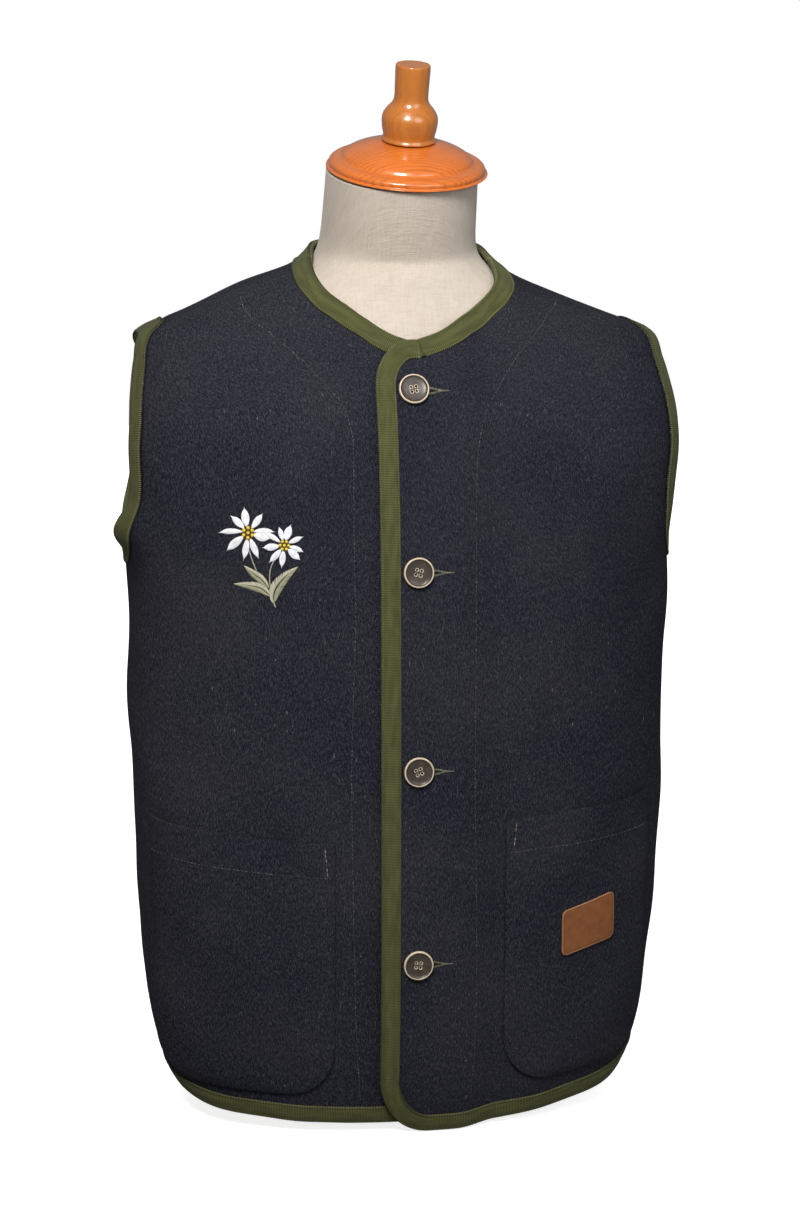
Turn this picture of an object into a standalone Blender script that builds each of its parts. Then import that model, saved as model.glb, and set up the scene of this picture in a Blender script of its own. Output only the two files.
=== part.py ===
"""A man's loden folk vest, buttoned, on a limbless dress form.

Metres, +Z up. The form stands on its flat base at z = 0 and faces -Y, so +X is the wearer's left.
Cloth is worked out on one body surface: a point on it is an angle round the body (0 at centre
front, 90 at the wearer's left side, 180 at centre back) and a height. Each half panel is modelled
on the +X side and mirrored where it belongs to the wearer's right.
"""

from math import pi, radians, tan

import bmesh
import bpy
import numpy as np
from mathutils import Matrix, Vector

# Thicknesses and clearances
CLOTH = 0.0022  # loden wall
BRAID = 0.0010  # one leg of the folded binding
BRAID_WIDTH = 0.016  # visible width of the binding
BRAID_ROOM = 0.0008  # between the cloth's faces and the binding folded round them
EDGE_ROOM = 0.0012  # between the cloth's edge and the inside of the fold
SEAM_GAP = 0.0005  # between two pieces that are sewn edge to edge
POCKET_ROOM = 0.0008  # between a front and the patch that lies on it
LABEL_ROOM = 0.0006
LEATHER = 0.0018

# The closure
OVER_PAST_CENTRE = 0.0345  # how far the over front reaches past the body's centre line
UNDER_PAST_CENTRE = 0.0235
OVER_LIFT = 0.0062  # the over front lies this far out, on the under front and its binding
LIFT_ENDS = (0.028, 0.062)  # the lift fades between these distances from the centre line
OVER_DROP = 0.004  # the over front hangs this much lower at its front edge
HEM_CORNER = (0.041, 0.048)  # width and height of the rounded corner at the hem
NECK_CORNER = (0.030, 0.036)  # and of the one where the front edge turns into the neckline

# Body surface: the inner face of the cloth
SECTIONS = (
    # height, half_width, front, back, centre, power
    (0.0000, 0.1760, -0.1080, 0.0980, -0.005, 2.60),
    (0.0300, 0.1870, -0.1170, 0.1050, -0.005, 2.50),
    (0.0500, 0.1950, -0.1205, 0.1080, -0.005, 2.50),
    (0.0700, 0.2015, -0.1230, 0.1100, -0.004, 2.45),
    (0.0950, 0.2070, -0.1250, 0.1120, -0.004, 2.45),
    (0.1400, 0.2120, -0.1270, 0.1130, -0.004, 2.45),
    (0.2600, 0.2170, -0.1285, 0.1120, -0.004, 2.45),
    (0.3800, 0.2205, -0.1280, 0.1110, -0.003, 2.50),
    (0.4600, 0.2230, -0.1260, 0.1150, -0.002, 2.65),
    (0.5000, 0.2255, -0.1230, 0.1185, -0.001, 2.90),
    (0.5500, 0.2280, -0.1160, 0.1210, 0.001, 3.10),
    (0.5840, 0.2250, -0.1070, 0.1210, 0.004, 3.00),
    (0.6150, 0.2165, -0.0950, 0.1165, 0.007, 2.75),
    (0.6345, 0.2085, -0.0860, 0.1110, 0.009, 2.45),
    (0.6435, 0.1910, -0.0820, 0.1070, 0.010, 2.30),
    (0.6500, 0.1735, -0.0785, 0.1030, 0.010, 2.20),
    (0.6575, 0.1530, -0.0750, 0.0985, 0.010, 2.15),
    (0.6670, 0.1280, -0.0715, 0.0925, 0.010, 2.10),
    (0.6790, 0.0985, -0.0680, 0.0840, 0.009, 2.10),
    (0.6910, 0.0785, -0.0650, 0.0760, 0.007, 2.10),
    (0.7035, 0.0675, -0.0635, 0.0700, 0.004, 2.10),
    (0.7200, 0.0640, -0.0640, 0.0650, 0.000, 2.10),
)

# Heights of the free edge of the neckline and of the hem, by angle from centre front
NECKLINE = (
    # angle, height
    (0, 0.6305),
    (11, 0.6370),
    (22, 0.6475),
    (32, 0.6585),
    (43, 0.6700),
    (54, 0.6815),
    (66, 0.6915),
    (80, 0.7000),
    (95, 0.7050),
    (120, 0.7090),
    (150, 0.7115),
    (180, 0.7120),
)
HEM = (
    # angle, right, left
    (0, 0.0090, 0.0075),
    (15, 0.0092, 0.0070),
    (30, 0.0100, 0.0084),
    (50, 0.0120, 0.0125),
    (66, 0.0165, 0.0200),
    (78, 0.0235, 0.0290),
    (90, 0.0335, 0.0380),
    (104, 0.0280, 0.0330),
    (125, 0.0190, 0.0200),
    (150, 0.0160, 0.0160),
    (180, 0.0150, 0.0150),
)

# Free edge of each armhole: up its back edge, over the shoulder, down its front edge
ARMHOLE = {
    # side: rows of angle and height
    -1: (
        (90.0, 0.4680),
        (95.5, 0.4735),
        (101.0, 0.4865),
        (106.0, 0.5070),
        (109.5, 0.5330),
        (111.5, 0.5610),
        (110.5, 0.5890),
        (106.0, 0.6145),
        (98.5, 0.6305),
        (91.0, 0.6345),
        (84.0, 0.6320),
        (80.5, 0.6110),
        (78.0, 0.5870),
        (76.5, 0.5600),
        (76.5, 0.5300),
        (78.0, 0.5040),
        (80.8, 0.4840),
        (85.0, 0.4725),
        (90.0, 0.4680),
    ),
    1: (
        (90.0, 0.4640),
        (95.5, 0.4700),
        (100.5, 0.4835),
        (104.5, 0.5050),
        (107.5, 0.5310),
        (109.0, 0.5600),
        (108.0, 0.5870),
        (104.0, 0.6125),
        (97.0, 0.6285),
        (89.5, 0.6320),
        (82.0, 0.6285),
        (77.5, 0.6050),
        (75.2, 0.5830),
        (74.0, 0.5580),
        (74.0, 0.5300),
        (75.0, 0.5040),
        (77.5, 0.4830),
        (83.0, 0.4690),
        (90.0, 0.4640),
    ),
}
SHOULDER_TIP = 10  # the row of an armhole where the shoulder seam ends
SHOULDER_SEAM_NECK_ANGLE = 70.0

BODY_MIDDLE = Vector((0, 0, 0.33))

# Soft folds and the way the cloth hangs: bumps out of the surface and, below zero, hollows in it
HANG = (
    # side, angle, height, angle_reach, height_reach, depth
    (-1, 84, 0.487, 9, 0.014, 0.0120),  # the right armhole's lower corner stands out
    (-1, 76, 0.545, 14, 0.050, -0.0030),
    (1, 84, 0.480, 12, 0.035, -0.0040),
    (-1, 84, 0.669, 26, 0.018, 0.0070),  # and the right shoulder is puffed up near the neck
    (-1, 92, 0.425, 16, 0.045, -0.0030),
    (-1, 76, 0.055, 18, 0.045, 0.0030),
    (-1, 62, 0.385, 13, 0.080, -0.0030),
    (1, 66, 0.375, 12, 0.070, -0.0035),
    (-1, 103, 0.330, 8, 0.130, -0.0030),
    (1, 106, 0.300, 8, 0.120, -0.0030),
    (-1, 128, 0.200, 9, 0.200, 0.0040),
    (1, 131, 0.220, 9, 0.190, 0.0035),
    (-1, 152, 0.260, 8, 0.170, -0.0035),
    (1, 155, 0.240, 8, 0.190, -0.0035),
)

# Grid sizes of the cloth
FRONT_COLUMNS = 13
BACK_COLUMNS = 10
SIDE_ROWS = 14  # hem to underarm
ARMHOLE_ROWS = 16  # underarm to shoulder seam
BACK_NECK_ROWS = 8  # those of them that meet the back neckline
BEND_STEP = 0.030  # one radian of bend in an edge takes as many rows as this much length

# Patch pockets, in the wearer's terms
POCKETS = (
    # name, side, inner, width, bottom, top, bottom_rise, top_rise
    ("pocket_right", -1, 0.0707, 0.158, 0.0350, 0.2440, 0.010, 0.013),
    ("pocket_left", 1, 0.0665, 0.138, 0.0385, 0.2590, 0.008, 0.008),
)
POCKET_CORNER = 0.040
POCKET_BELLY = 0.0030
POCKET_COLUMNS = 10
POCKET_ROWS = 11

# Leather label, on the left pocket
LABEL_SIZE = (0.047, 0.037)
LABEL_CORNER = 0.004
LABEL_AT = (0.135, 0.1670)  # along the front from its centre line, and height
LABEL_SLANT = 13  # degrees that its long edges rise to the side

# Buttons
BUTTON_X = -0.0055
BUTTON_HEIGHTS = (0.593, 0.457, 0.3015, 0.146)
BUTTON_RADIUS = 0.0118
BUTTON_THICK = 0.0040
BUTTON_ROOM = 0.0006

# Dress form: clear of the cloth, with its own neck above the shoulders
FORM_EASE = (
    # height, ease
    (0.000, 0.0280),
    (0.100, 0.0240),
    (0.260, 0.0170),
    (0.380, 0.0120),
    (0.480, 0.0080),
    (0.560, 0.0055),
    (0.620, 0.0042),
    (0.660, 0.0032),
    (0.700, 0.0030),
)
FORM_ARMHOLE_INSET = 0.008  # the form's flank is drawn in behind the armhole
FORM_RINGS = (0.0, 0.05, 0.12, 0.20, 0.28, 0.36, 0.43, 0.49, 0.54, 0.58, 0.61, 0.63, 0.642, 0.652, 0.662,
              0.674, 0.686)
FORM_COLUMNS = 30
NECK_RINGS = (
    # height, half_width, half_depth, centre, tilt
    (0.6935, 0.0700, 0.0630, 0.0030, 2.0),
    (0.7020, 0.0640, 0.0620, -0.0010, 5.0),
    (0.7160, 0.0622, 0.0615, -0.0070, 9.0),
    (0.7330, 0.0615, 0.0610, -0.0145, 13.0),
    (0.7500, 0.0608, 0.0605, -0.0215, 16.0),
    (0.7640, 0.0605, 0.0605, -0.0270, 17.5),
)

# Turned wood, in its own frame: z runs along the leaning axis from the cap's rim
CAP_TILT = 17.5
CAP_SIDE_LEAN = 0.6
CAP_CENTRE = (0.0035, -0.0290, 0.7680)
CAP_PROFILE = (
    # radius, height
    (0.0000, 0.0200),
    (0.0215, 0.0195),
    (0.0330, 0.0165),
    (0.0430, 0.0130),
    (0.0500, 0.0090),
    (0.0530, 0.0055),
    (0.0585, 0.0045),
    (0.0618, 0.0020),
    (0.0618, -0.0010),
    (0.0590, -0.0030),
    (0.0000, -0.0030),
)
FINIAL_PROFILE = (
    # radius, height
    (0.0000, 0.0805),
    (0.0122, 0.0805),
    (0.0137, 0.0790),
    (0.0135, 0.0660),
    (0.0134, 0.0550),
    (0.0150, 0.0500),
    (0.0185, 0.0460),
    (0.0213, 0.0415),
    (0.0222, 0.0370),
    (0.0216, 0.0305),
    (0.0203, 0.0245),
    (0.0200, 0.0203),
    (0.0000, 0.0203),
)
TURNED_STEPS = 24

LODEN = ("loden", (0.030, 0.031, 0.040), 0.95, 0.0)
BRAID_OLIVE = ("braid", (0.090, 0.100, 0.030), 0.85, 0.0)
LINEN = ("linen", (0.560, 0.520, 0.450), 0.90, 0.0)
CAP_WOOD = ("cap_wood", (0.600, 0.190, 0.045), 0.25, 0.0)
FINIAL_WOOD = ("finial_wood", (0.480, 0.190, 0.045), 0.25, 0.0)
HORN = ("horn", (0.120, 0.100, 0.085), 0.40, 0.0)
COGNAC_LEATHER = ("leather", (0.230, 0.100, 0.040), 0.60, 0.0)


# ---------------------------------------------------------------- curves and the body surface


def smooth_curve(table, column=1):
    """A function through a table's rows, with no overshoot between them."""
    xs = np.array([row[0] for row in table], float)
    ys = np.array([row[column] for row in table], float)
    steps = np.diff(xs)
    slopes = np.diff(ys) / steps
    tangents = np.concatenate([slopes[:1], (slopes[1:] + slopes[:-1]) / 2, slopes[-1:]])
    turning = slopes[1:] * slopes[:-1] <= 0
    tangents[1:-1][turning] = 0.0
    steepest = 3 * np.minimum(np.abs(slopes[1:]), np.abs(slopes[:-1]))
    tangents[1:-1] = np.clip(tangents[1:-1], -steepest, steepest)

    def value(x):
        x = np.clip(np.asarray(x, float), xs[0], xs[-1])
        row = np.clip(np.searchsorted(xs, x, side="right") - 1, 0, len(steps) - 1)
        width = steps[row]
        t = (x - xs[row]) / width
        start = (1 + 2 * t) * (1 - t) ** 2 * ys[row] + t * (1 - t) ** 2 * width * tangents[row]
        end = t * t * (3 - 2 * t) * ys[row + 1] + t * t * (t - 1) * width * tangents[row + 1]
        return start + end

    return value


def path_through(table, count):
    """(count, 2) points on a smooth path through a table's (angle, height) rows."""
    rows = [(i, *row) for i, row in enumerate(table)]
    at = np.linspace(0, len(table) - 1, count)
    return np.stack([smooth_curve(rows, 1)(at), smooth_curve(rows, 2)(at)], axis=-1)


half_width_at = smooth_curve(SECTIONS, 1)
front_at = smooth_curve(SECTIONS, 2)
back_at = smooth_curve(SECTIONS, 3)
centre_at = smooth_curve(SECTIONS, 4)
power_at = smooth_curve(SECTIONS, 5)
neckline_at = smooth_curve(NECKLINE)
hem_at = {-1: smooth_curve(HEM, 1), 1: smooth_curve(HEM, 2)}
ease_at = smooth_curve(FORM_EASE)


def body(place):
    """Points of the body surface at (angle in degrees, height) places of any shape (..., 2)."""
    angle = np.radians(place[..., 0])
    height = place[..., 1]
    centre = centre_at(height)
    depth = np.where(np.cos(angle) > 0, centre - front_at(height), back_at(height) - centre)
    power = power_at(height)
    across = np.abs(np.sin(angle)) / half_width_at(height)
    along = np.abs(np.cos(angle)) / depth
    reach = (across**power + along**power) ** (-1 / power)
    return np.stack([reach * np.sin(angle), centre - reach * np.cos(angle), height], axis=-1)


def unit(vectors):
    return vectors / np.linalg.norm(vectors, axis=-1, keepdims=True)


def slopes(place, surface=body):
    """How a surface moves for one degree and for one metre of height."""
    turn = np.array([0.05, 0.0])
    rise = np.array([0.0, 0.0005])
    by_angle = (surface(place + turn) - surface(place - turn)) / (2 * turn[0])
    by_height = (surface(place + rise) - surface(place - rise)) / (2 * rise[1])
    return by_angle, by_height


def outward(place, surface=body):
    by_angle, by_height = slopes(place, surface)
    return unit(np.cross(by_angle, by_height))


def hang(place, side):
    """How far the cloth of one side stands off the body surface."""
    off = np.zeros(place.shape[:-1])
    for fold_side, angle, height, angle_reach, height_reach, depth in HANG:
        if fold_side == side:
            spread = ((place[..., 0] - angle) / angle_reach) ** 2 + ((place[..., 1] - height) / height_reach) ** 2
            off += depth * np.exp(-spread)
    return off


def over_lift(place):
    """How far the over front stands off, where it lies on the under front."""
    start, end = LIFT_ENDS
    t = np.clip((body(place)[..., 0] - start) / (end - start), 0, 1)
    return OVER_LIFT * (1 - t * t * (3 - 2 * t))


def cloth(place, side, over, off=0.0):
    """The inner face of one side's cloth, or points this far off it, in real space."""

    def hung(place):
        stand = hang(place, side) + (over_lift(place) if over else 0.0)
        return body(place) + outward(place) * stand[..., None]

    points = hung(place) + outward(place, hung) * np.asarray(off)[..., None]
    return points * (side, 1, 1)


def inside(outline, distance):
    """Each place of an outline moved this far into the cloth, which lies to its right seen from outside."""
    path, closed, upright = outline
    if closed:
        ring = np.concatenate([path[-2:-1], path, path[1:2]])
    else:
        ring = np.concatenate([2 * path[:1] - path[1:2], path, 2 * path[-1:] - path[-2:-1]])
    by_angle, by_height = slopes(path)
    along = ring[2:] - ring[:-2]
    tangent = unit(by_angle * along[:, :1] + by_height * along[:, 1:])
    into = np.cross(tangent, outward(path)) * distance
    # The step in angle and height that gives this step on the surface
    aa = (by_angle**2).sum(-1)
    ab = (by_angle * by_height).sum(-1)
    bb = (by_height**2).sum(-1)
    ia = (into * by_angle).sum(-1)
    ib = (into * by_height).sum(-1)
    area = aa * bb - ab**2
    moved = path + np.stack([(ia * bb - ib * ab) / area, (ib * aa - ia * ab) / area], axis=-1)
    moved[upright, 0] = path[upright, 0]
    return moved


def lengths(path):
    """Length along the surface from a path's start to each of its places."""
    return np.concatenate([[0], np.cumsum(np.linalg.norm(np.diff(body(path), axis=0), axis=1))])


def spaced(path, start, end, count):
    """Indices, with fractions, that part a stretch of a path evenly, closer where it bends."""
    steps = np.diff(body(path), axis=0)
    way = unit(steps)
    bend = np.arccos(np.clip((way[1:] * way[:-1]).sum(-1), -1, 1))
    run = np.concatenate([[0], np.cumsum(np.linalg.norm(steps, axis=1) + BEND_STEP * np.append(bend, 0))])
    index = np.arange(len(path))
    first, last = np.interp([start, end], index, run)
    return np.interp(np.linspace(first, last, count + 1), run, index)


def picked(path, indices):
    index = np.arange(len(path))
    return np.stack([np.interp(indices, index, path[:, 0]), np.interp(indices, index, path[:, 1])], axis=-1)


def angle_of(across, height):
    """The angle of a point at this distance from the centre line, near centre front."""
    return np.degrees(np.arctan2(across, centre_at(height) - front_at(height)))


# ---------------------------------------------------------------- outlines of the pieces
# An outline is a path of places, whether it closes, and which of its ends lie on an upright seam


def seam_angle(radius):
    """Half the seam gap, as an angle at this radius."""
    return np.degrees(SEAM_GAP / 2 / radius)


SIDE_GAP_ANGLE = seam_angle(0.20)
NECK_GAP_ANGLE = seam_angle(0.07)


def front_outline(side, past_centre, drop):
    """The free edge of one front, from the side seam along the hem, up the front edge and round the neck.

    Also the index of the middle of its hem corner.
    """
    hem_width, hem_height = HEM_CORNER
    neck_width, neck_height = NECK_CORNER
    start = -past_centre
    hem_turn = angle_of(start + hem_width, 0.01)
    along_hem = np.linspace(90 - SIDE_GAP_ANGLE, hem_turn, 400)
    hem_z = hem_at[side](along_hem) - drop * (1 - along_hem / 90)
    hem = np.stack([along_hem, hem_z], axis=-1)
    turn = np.linspace(0, pi / 2, 21)
    corner_x = start + hem_width - hem_width * np.sin(turn)
    corner_z = hem_z[-1] + hem_height - hem_height * np.cos(turn)
    neck_z = neckline_at(angle_of(start + neck_width, 0.63))
    rise_z = np.linspace(hem_z[-1] + hem_height, neck_z - neck_height, 120)
    top_x = start + neck_width - neck_width * np.cos(turn)
    top_z = neck_z - neck_height + neck_height * np.sin(turn)
    edge_x = np.concatenate([corner_x[1:], np.full(118, start), top_x])
    edge_z = np.concatenate([corner_z[1:], rise_z[1:-1], top_z])
    edge = np.stack([angle_of(edge_x, edge_z), edge_z], axis=-1)
    along_neck = np.linspace(edge[-1, 0], SHOULDER_SEAM_NECK_ANGLE - NECK_GAP_ANGLE, 400)[1:]
    neck = np.stack([along_neck, neckline_at(along_neck)], axis=-1)
    return (np.concatenate([hem, edge, neck]), False, [0]), len(hem) + 10


def back_neck_outline():
    along = np.linspace(SHOULDER_SEAM_NECK_ANGLE + NECK_GAP_ANGLE, 180, 600)
    return np.stack([along, neckline_at(along)], axis=-1), False, [-1]


def back_hem_outline(side):
    along = np.linspace(180, 90 + SIDE_GAP_ANGLE, 600)
    return np.stack([along, hem_at[side](along)], axis=-1), False, [0, -1]


def armhole_outline(side):
    return path_through(ARMHOLE[side], 901), True, [0, -1]


def edge_and_line(outline):
    """The cloth's own edge, just inside a binding's fold, and the line that the binding's far edge follows."""
    return inside(outline, BRAID + EDGE_ROOM), inside(outline, BRAID_WIDTH)


def parted(places, gap):
    """A run of places with its two ends drawn back from the seams that they meet."""
    places = places.copy()
    places[[0, -1], ..., 0] += gap
    return places


def whole(outline, count):
    """The indices that part a whole outline."""
    path = outline[0]
    return spaced(path, 0, len(path) - 1, count)


def armhole_halves(side):
    """The armhole's outline, and the indices of its rows on the back and then on the front, both as it runs."""
    outline = armhole_outline(side)
    path = outline[0]
    last = len(path) - 1
    tip = SHOULDER_TIP / (len(ARMHOLE[side]) - 1) * last
    return outline, spaced(path, 0, tip, ARMHOLE_ROWS), spaced(path, tip, last, ARMHOLE_ROWS)


def panel_places(inner, side, hem):
    """Places of a panel's grid between its four edges, (rows, columns, 2)."""
    across = np.linspace(0, 1, len(hem))[None, :, None]
    up = np.linspace(0, 1, len(inner))[:, None, None]
    top = inner[-1] + (side[-1] - inner[-1]) * across[0]
    ruled = inner[:, None] * (1 - across) + side[:, None] * across
    lofted = hem[None] * (1 - up) + top[None] * up
    corners = ((inner[0] * (1 - across) + side[0] * across) * (1 - up)
               + (inner[-1] * (1 - across) + side[-1] * across) * up)
    return ruled + lofted - corners


def side_places(hem_end, armhole):
    """The side seam up from the hem, then the line round the armhole."""
    return np.concatenate([np.linspace(hem_end, armhole[0], SIDE_ROWS + 1), armhole[1:]])


def front_places(side, past_centre, drop):
    """Places of a front: its grid, the band of it in the edge binding, and the band in the armhole binding.

    Also its outline and the indices of its rows there.
    """
    hole, _, hole_rows = armhole_halves(side)
    hole_edge, hole_line = (parted(picked(path, hole_rows), -SIDE_GAP_ANGLE) for path in edge_and_line(hole))
    outline, corner = front_outline(side, past_centre, drop)
    path = outline[0]
    split = corner + int(np.argmax(path[corner:, 1] > hole_line[-1, 1]))
    hem_rows = spaced(path, 0, corner, FRONT_COLUMNS)
    lower_rows = spaced(path, corner, split, SIDE_ROWS)
    upper_rows = spaced(path, split, len(path) - 1, ARMHOLE_ROWS)
    up_rows = np.concatenate([lower_rows, upper_rows[1:]])
    rows = np.concatenate([hem_rows, up_rows[1:]])
    edge, line = edge_and_line(outline)
    hem = picked(line, hem_rows)[::-1]
    grid = panel_places(picked(line, up_rows), side_places(hem[-1], hole_line[::-1]), hem)
    bands = np.stack([picked(edge, rows), picked(line, rows)], axis=1), np.stack([hole_edge, hole_line], axis=1)
    return grid, *bands, outline, rows


def back_places(side):
    """Places of half the back: its grid, and the bands of it in the hem, neck and armhole bindings."""
    hole, hole_rows, _ = armhole_halves(side)
    hole_edge, hole_line = (parted(picked(path, hole_rows), SIDE_GAP_ANGLE) for path in edge_and_line(hole))
    hem, neck = back_hem_outline(side), back_neck_outline()
    hem_edge, hem_line = (picked(path, whole(hem, BACK_COLUMNS)) for path in edge_and_line(hem))
    neck_edge, neck_line = (picked(path, whole(neck, BACK_NECK_ROWS)) for path in edge_and_line(neck))
    underarm = np.array([180, hole_line[0, 1]])
    centre = np.concatenate([
        np.linspace(hem_line[0], underarm, SIDE_ROWS + 1),
        np.linspace(underarm, neck_line[-1], ARMHOLE_ROWS - BACK_NECK_ROWS + 1)[1:],
    ])
    inner = np.concatenate([centre, neck_line[-2::-1]])
    grid = panel_places(inner, side_places(hem_line[-1], hole_line), hem_line)
    pairs = ((hem_edge, hem_line), (neck_edge, neck_line), (hole_edge, hole_line))
    return grid, *(np.stack(pair, axis=1) for pair in pairs)


# ---------------------------------------------------------------- Blender objects


def material(name, colour, roughness, metallic):
    made = bpy.data.materials.new(name)
    made.use_nodes = True
    shader = made.node_tree.nodes["Principled BSDF"]
    shader.inputs["Base Color"].default_value = (*colour, 1.0)
    shader.inputs["Roughness"].default_value = roughness
    shader.inputs["Metallic"].default_value = metallic
    return made


def add_object(name, mesh, finish):
    """Each object has its own material."""
    base, colour, roughness, metallic = finish
    mesh.materials.append(material(f"{name}_{base}", colour, roughness, metallic))
    made = bpy.data.objects.new(name, mesh)
    vest.objects.link(made)
    return made


def laid_on(*grids):
    """Faces laid on grids of points (rows, columns, 3), joined where they meet."""
    bm = bmesh.new()
    for points in grids:
        rows, columns = points.shape[:2]
        made = bmesh.ops.create_grid(bm, x_segments=columns - 1, y_segments=rows - 1, size=0.5)
        for vert in made["verts"]:
            column = round((vert.co.x + 0.5) * (columns - 1))
            row = round((vert.co.y + 0.5) * (rows - 1))
            vert.co = Vector(points[row, column])
    bmesh.ops.remove_doubles(bm, verts=bm.verts, dist=1e-5)
    return bm


def crease(bm):
    """Splits each quad along the diagonal that stands further out, so that layers split alike."""
    for face in list(bm.faces):
        if len(face.verts) == 4:
            a, b, c, d = face.verts
            first = (a.co + c.co) / 2 - BODY_MIDDLE
            second = (b.co + d.co) / 2 - BODY_MIDDLE
            ends = (a, c) if first.length > second.length else (b, d)
            bmesh.utils.face_split(face, *ends)


def facing(points, side):
    """A grid with its columns turned round on the mirrored side, so that its faces still look outwards."""
    return points[:, ::-1] if side < 0 else points


def sheet(name, grids, finish, thickness):
    """A wall of cloth on grids of points, thickened outwards."""
    bm = laid_on(*grids)
    crease(bm)
    mesh = bpy.data.meshes.new(name)
    bm.to_mesh(mesh)
    bm.free()
    mesh.shade_smooth()
    made = add_object(name, mesh, finish)
    wall = made.modifiers.new("Wall", "SOLIDIFY")
    wall.thickness = thickness
    wall.offset = 1
    wall.use_even_offset = True


def channel(outline, rows, side, over=False):
    """The inner face of a braid folded round the cloth's free edge, (rows, 4, 3)."""
    outer = CLOTH + BRAID_ROOM
    columns = ((BRAID_WIDTH, -BRAID_ROOM), (BRAID, -BRAID_ROOM), (BRAID, outer), (BRAID_WIDTH, outer))
    points = [cloth(picked(inside(outline, leg), rows), side, over, off) for leg, off in columns]
    return facing(np.stack(points, axis=1), side)


def turned(name, profile, finish, steps=TURNED_STEPS):
    """A solid of revolution about Z from (radius, height) rows, top to bottom."""
    mesh = bpy.data.meshes.new(name)
    mesh.from_pydata([(r, 0, z) for r, z in profile], [(i, i + 1) for i in range(len(profile) - 1)], [])
    made = add_object(name, mesh, finish)
    screw = made.modifiers.new("Turned", "SCREW")
    screw.steps = steps
    screw.render_steps = steps
    screw.use_merge_vertices = True
    screw.merge_threshold = 1e-4
    return made


# ---------------------------------------------------------------- pieces


def add_back():
    panel, neck, hem = [], [], []
    for side in (-1, 1):
        grid, *bands = back_places(side)
        panel.append(facing(cloth(grid, side, False), -side))
        panel += [facing(cloth(band, side, False), side) for band in bands]
        outline = back_neck_outline()
        neck.append(channel(outline, whole(outline, BACK_NECK_ROWS), side))
        outline = back_hem_outline(side)
        hem.append(channel(outline, whole(outline, BACK_COLUMNS), side))
    sheet("back", panel, LODEN, CLOTH)
    sheet("binding_back_neck", neck, BRAID_OLIVE, BRAID)
    sheet("binding_back_hem", hem, BRAID_OLIVE, BRAID)


def add_fronts():
    fronts = (
        # name, side, past_centre, drop, over
        ("right", -1, UNDER_PAST_CENTRE, 0.0, False),
        ("left", 1, OVER_PAST_CENTRE, OVER_DROP, True),
    )
    for name, side, past_centre, drop, over in fronts:
        *places, outline, rows = front_places(side, past_centre, drop)
        hole, back_rows, front_rows = armhole_halves(side)
        hole_rows = np.concatenate([back_rows, front_rows[1:]])
        grids = [facing(cloth(part, side, over), side) for part in places]
        sheet(f"front_{name}", grids, LODEN, CLOTH)
        sheet(f"binding_front_{name}", [channel(outline, rows, side, over)], BRAID_OLIVE, BRAID)
        sheet(f"binding_armhole_{name}", [channel(hole, hole_rows, side)], BRAID_OLIVE, BRAID)


def along_front(distance, height):
    """The angle at this distance along the front from its centre line, for arrays of both."""
    angles = np.linspace(0, 90, 361)
    found = np.empty(np.shape(height))
    for index in np.ndindex(found.shape):
        ring = np.stack([angles, np.full(361, height[index])], axis=-1)
        found[index] = np.interp(distance[index], lengths(ring), angles)
    return found


def patch_places(distance, height):
    return np.stack([along_front(distance, height), height], axis=-1)


def pocket_off(across, up):
    """How far the patch stands off the front, by its share across and up."""
    return CLOTH + POCKET_ROOM + POCKET_BELLY * np.sin(pi * across) ** 0.7 * np.sin(pi * up / 2.2)


def add_pockets():
    for name, side, inner, width, bottom, top, bottom_rise, top_rise in POCKETS:
        turns = np.linspace(0, pi / 2, 5)
        corner_z = POCKET_CORNER * (1 - np.cos(turns))
        straight = np.linspace(POCKET_CORNER, top - bottom, POCKET_ROWS - 3)[1:]
        rows = np.concatenate([corner_z, straight])
        draw_in = np.concatenate([POCKET_CORNER * (1 - np.sin(turns)), np.zeros(len(straight))])
        across = np.linspace(0, 1, POCKET_COLUMNS + 1)[None]
        up = (rows / rows[-1])[:, None]
        distance = inner + draw_in[:, None] + (width - 2 * draw_in[:, None]) * across
        height = bottom + rows[:, None] + (bottom_rise * (1 - up) + top_rise * up) * across
        points = cloth(patch_places(distance, height), side, side > 0, pocket_off(across, up))
        sheet(name, [facing(points, side)], LODEN, CLOTH)


def add_label():
    """A leather patch with cut corners, laid on the left pocket and turned with it."""
    _, _, inner, width, bottom, top, _, _ = POCKETS[1]
    half_w, half_h = LABEL_SIZE[0] / 2, LABEL_SIZE[1] / 2
    xs = np.array([-half_w, -half_w + LABEL_CORNER, 0, half_w - LABEL_CORNER, half_w])
    ys = np.array([-half_h, -half_h + LABEL_CORNER, half_h - LABEL_CORNER, half_h])
    across, up = np.meshgrid(xs, ys)
    clipped = (np.abs(across) == half_w) & (np.abs(up) == half_h)
    across = np.where(clipped, np.sign(across) * (half_w - LABEL_CORNER * 0.3), across)
    up = np.where(clipped, np.sign(up) * (half_h - LABEL_CORNER * 0.3), up)
    distance = LABEL_AT[0] + across
    height = LABEL_AT[1] + across * tan(radians(LABEL_SLANT)) + up
    shares = pocket_off((distance - inner) / width, (height - bottom) / (top - bottom))
    points = cloth(patch_places(distance, height), 1, True, shares + CLOTH + LABEL_ROOM)
    sheet("label", [points], COGNAC_LEATHER, LEATHER)


def add_buttons():
    r, t = BUTTON_RADIUS, BUTTON_THICK
    profile = ((0, 0.60 * t), (0.68 * r, 0.70 * t), (0.88 * r, t), (r, 0.72 * t), (0.94 * r, 0), (0, 0))
    for number, height in enumerate(BUTTON_HEIGHTS, 1):
        place = np.array([angle_of(BUTTON_X, height), height])
        normal = Vector(outward(place))
        made = turned(f"button_{number}", profile, HORN, steps=16)
        made.location = Vector(cloth(place, 1, True, CLOTH + BUTTON_ROOM))
        made.rotation_euler = normal.to_track_quat("Z", "Y").to_euler()


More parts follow.
